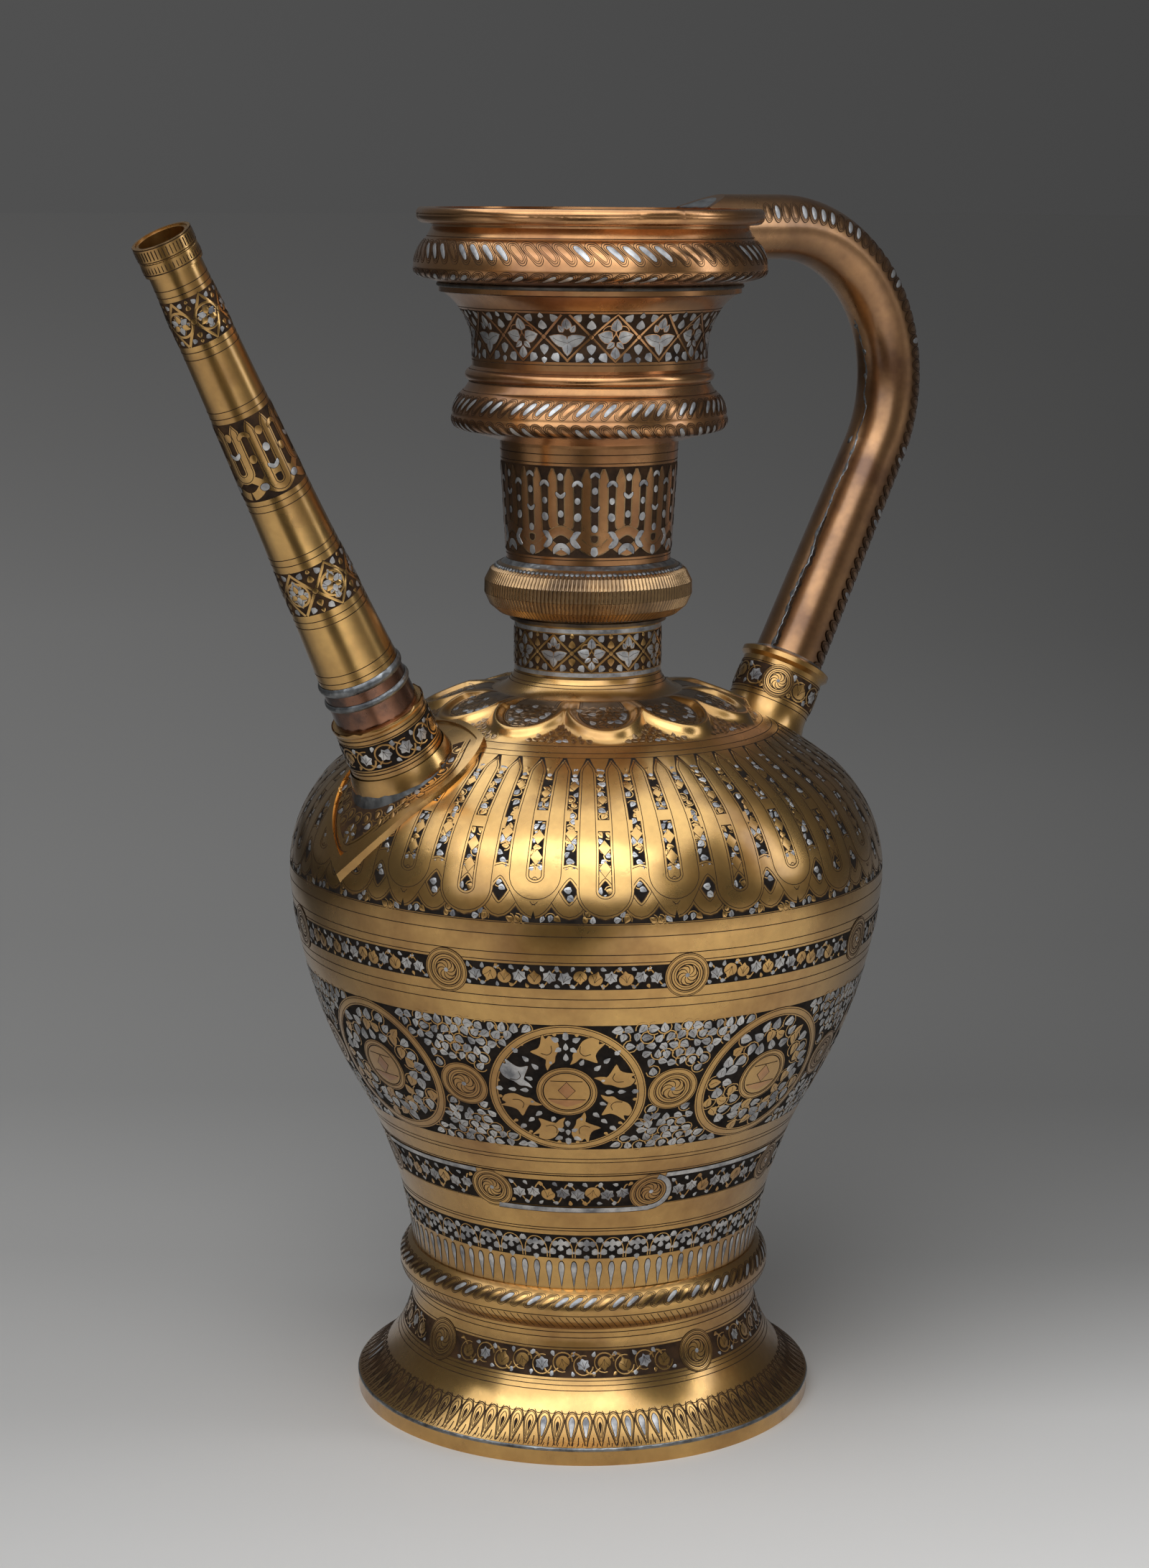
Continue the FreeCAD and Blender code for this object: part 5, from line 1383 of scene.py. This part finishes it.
shield.shape("groove", flat, np.full(len(flat), GROUND_LIFT), shield_faces)
shield.strip("brass", shield_edge * 0.93, 0.7, lift=0.1)
shield.strip("groove", shield_edge, 0.34, lift=0.08)
shield.plate("brass", circle(3.6, 24), (-32.0, 0.0), 0.1, 0.1, edge=0.3)
for i in range(12):
    shield.plate("silver" if i % 3 == 0 else "brass", moved(moved(leaf(2.9, 1.3), 0.6), turn=30.0 * i),
                 (-32.0, 0.0), 0.2, 0.08, edge=0.22)
shield_random = np.random.default_rng(72)
for ring_reach, count in ((26.6, 26), (30.0, 28)):
    for i in range(count):
        turn = 360.0 * (i + 0.5 * (ring_reach > 28)) / count
        spot = (ring_reach * math.cos(math.radians(turn)), ring_reach * math.sin(math.radians(turn)) * 0.82)
        if spot[0] > 19 or (ring_reach > 28 and spot[0] > -8) or math.hypot(spot[0] + 32, spot[1]) < 5:
            continue
        shape = moved(leaf(3.4, 2.3), -1.7)
        arc = np.linspace(0.0, 1.5 * math.pi, 9)
        curl = np.stack([np.cos(arc), np.sin(arc)], -1) * 2.3
        shield.strip("brass", moved(curl, turn=-turn), 0.5, spot, 0.06, 0.04)
        shield.plate("silver" if shield_random.random() < 0.4 else "brass",
                     moved(shape, turn=shield_random.uniform(0, 360)), spot, 0.1, 0.12, edge=0.3)
fillet_skin = solid_of("spout_base_solder", spout_seat.inverted())
rows = []
for share in np.linspace(0, 1, 6):
    levels = 6.6 - share * (5.4 + 0.7 * jags)
    row = []
    for angle, level in zip(edge_angles, levels):
        way = Vector((math.cos(angle), math.sin(angle), 0))
        hit = fillet_skin.ray_cast(way * 0.04 + Vector((0, 0, min(level, 6.3) * MM)), -way)[0]
        reach = 19.0 if hit is None else math.hypot(hit.x, hit.y) / MM
        reach += 0.12 + 0.35 * math.sin(math.pi * share) ** 0.5
        row.append(tuple(spout_seat @ (way * (reach * MM) + Vector((0, 0, level * MM)))))
    rows.append(np.array(row) / MM)
spout_inlay.lay("brass", np.vstack(rows), grid_faces(len(rows), EDGE_STEPS, True)[:, ::-1])
spout_inlay.finish()
dress("copper", "spout_sleeve")
dress("solder", "spout_ring_upper", "spout_ring_lower")
dress("seat_solder", "spout_base_solder")

# The handle is a bent tube of coppery brass, soldered over the rim and set in a socket on the shoulder.
# A row of ovals, some of them silver, runs along its outer side, and a dark seam along its inner side.
HANDLE_RADIUS = 12.9
HANDLE_ROOT_RADIUS = 14.8
BEND_RADIUS = 62.6
HANDLE_TILT = 28.4
BEND_CENTRE = Vector((96.6, 0.0, 405.2))
LEG_LENGTH = 126.6
BEND_TURN = math.radians(90.0 + HANDLE_TILT)


class Rod(Unrolled):
    """The handle's outside: x runs along it from the rim to the root, y across its outer side."""
    whole = BEND_RADIUS * BEND_TURN + LEG_LENGTH

    def place(self, along, across, lift):
        """Points at a length along the handle and across it, counted from its outer spine."""
        along, across, lift = np.broadcast_arrays(along, across, lift)
        bend_length = BEND_RADIUS * BEND_TURN
        down = np.array([math.cos(BEND_TURN), -math.sin(BEND_TURN)])
        swing = np.clip(along / BEND_RADIUS, 0.0, BEND_TURN)
        past = np.clip(along - bend_length, 0.0, None)
        before = np.clip(along, None, 0.0)
        size = HANDLE_RADIUS + (HANDLE_ROOT_RADIUS - HANDLE_RADIUS) * past / LEG_LENGTH
        turn = across / HANDLE_RADIUS
        outward = BEND_RADIUS + (size + lift + SKIN_LIFT) * np.cos(turn)
        x = BEND_CENTRE.x + outward * np.sin(swing) + past * down[0] + before
        z = BEND_CENTRE.z + outward * np.cos(swing) + past * down[1]
        y = (size + lift + SKIN_LIFT) * np.sin(turn)
        return np.stack([x, y, z], -1)


rod = Rod()
handle_inlay = Inlay("handle")
HANDLE_COUNT = 54
HANDLE_SILVER = [-2, 1, 2, 3, 4, 6, 7, 12, 13, 18, 27, 28, 33, 34, 41]
HANDLE_OVALS = range(-3, HANDLE_COUNT)
for low, high, lean in ((-18.4, -9.6, 0.6), (9.6, 18.4, -0.6)):
    band = Band(handle_inlay, rod, low, high, HANDLE_COUNT, -4.0, heights=False)
    middle = (band.wide / 2, band.tall / 2)
    t = np.linspace(0, 2 * math.pi, 20, endpoint=False)
    for share, lift, width in ((0.94, 0.0, 0.34), (0.7, 0.06, 0.26), (0.5, 0.12, 0.24)):
        oval = np.stack([band.wide * share / 2 * np.cos(t) + lean * np.sin(t) * share,
                         band.tall * (0.35 + share * 0.68) / 2 * np.sin(t)], -1)
        band.plate("handle_brass", oval, middle, lift, 0.06, HANDLE_OVALS)
        band.strip("groove", closed(oval), width, middle, lift + 0.04, 0.0, HANDLE_OVALS)
    band.plate("silver", oval * 0.94, middle, 0.2, 0.1, HANDLE_SILVER)
seam_random = np.random.default_rng(81)
seam = Band(handle_inlay, rod, -38.5, -28.5, 1, heights=False)
seam_x = np.arange(66.0, 254.0, 0.8)
waver = np.convolve(seam_random.normal(0, 1, len(seam_x) + 8), np.ones(9) / 3, "valid") * 0.34
swell = np.abs(np.convolve(seam_random.normal(0, 1, len(seam_x) + 4), np.ones(5) / 2.2, "valid"))
seam_path = np.stack([seam_x, waver + np.interp(seam_x, (66, 130, 254), (-3.0, 0.0, 1.5))], -1)
seam.strip("groove", seam_path + np.array([0.0, 0.9]), 1.1 + 0.4 * swell, lift=0.04, crown=0.0)
seam.strip("solder", seam_path, 0.35 + 0.62 * swell, lift=0.14, crown=0.3)
for spot in (70.0, 84.0, 97.0, 131.0):
    lump = through(circle(1.0, 7) * seam_random.uniform(0.6, 1.5, (7, 1)), 3, True)[:-1]
    seam.plate("solder", lump * np.array([1.8, 1.0]), (spot, seam_random.uniform(-3.5, -1.0)), 0.12, 0.5)
handle_inlay.finish()
dress("handle_brass", "handle_tube")
dress("solder", "handle_rim_solder", "handle_socket_solder")
handle_seat = (Matrix.Translation(Vector((91.1, 0.0, 264.034)) * MM)
               @ Matrix.Rotation(math.radians(HANDLE_TILT), 4, "Y"))
socket = Turned("handle_socket", seat=handle_seat)
socket_inlay = Inlay("socket")
lines_round(socket_inlay, socket, (9.0, 11.0, 23.0), 0.3)
socket_band = Band(socket_inlay, socket, 11.8, 22.4, 2)
socket_band.ground("groove")
vine_band(socket_band, "brass", ("bud", "leaf", "bud"), 8.0, 0.6, 6.0, 0.8, 8, scroll=0.7)
whirl(socket_band, 0.0, socket_band.tall / 2, 3.6, "brass", 8, strap=1.2)
socket_inlay.finish()
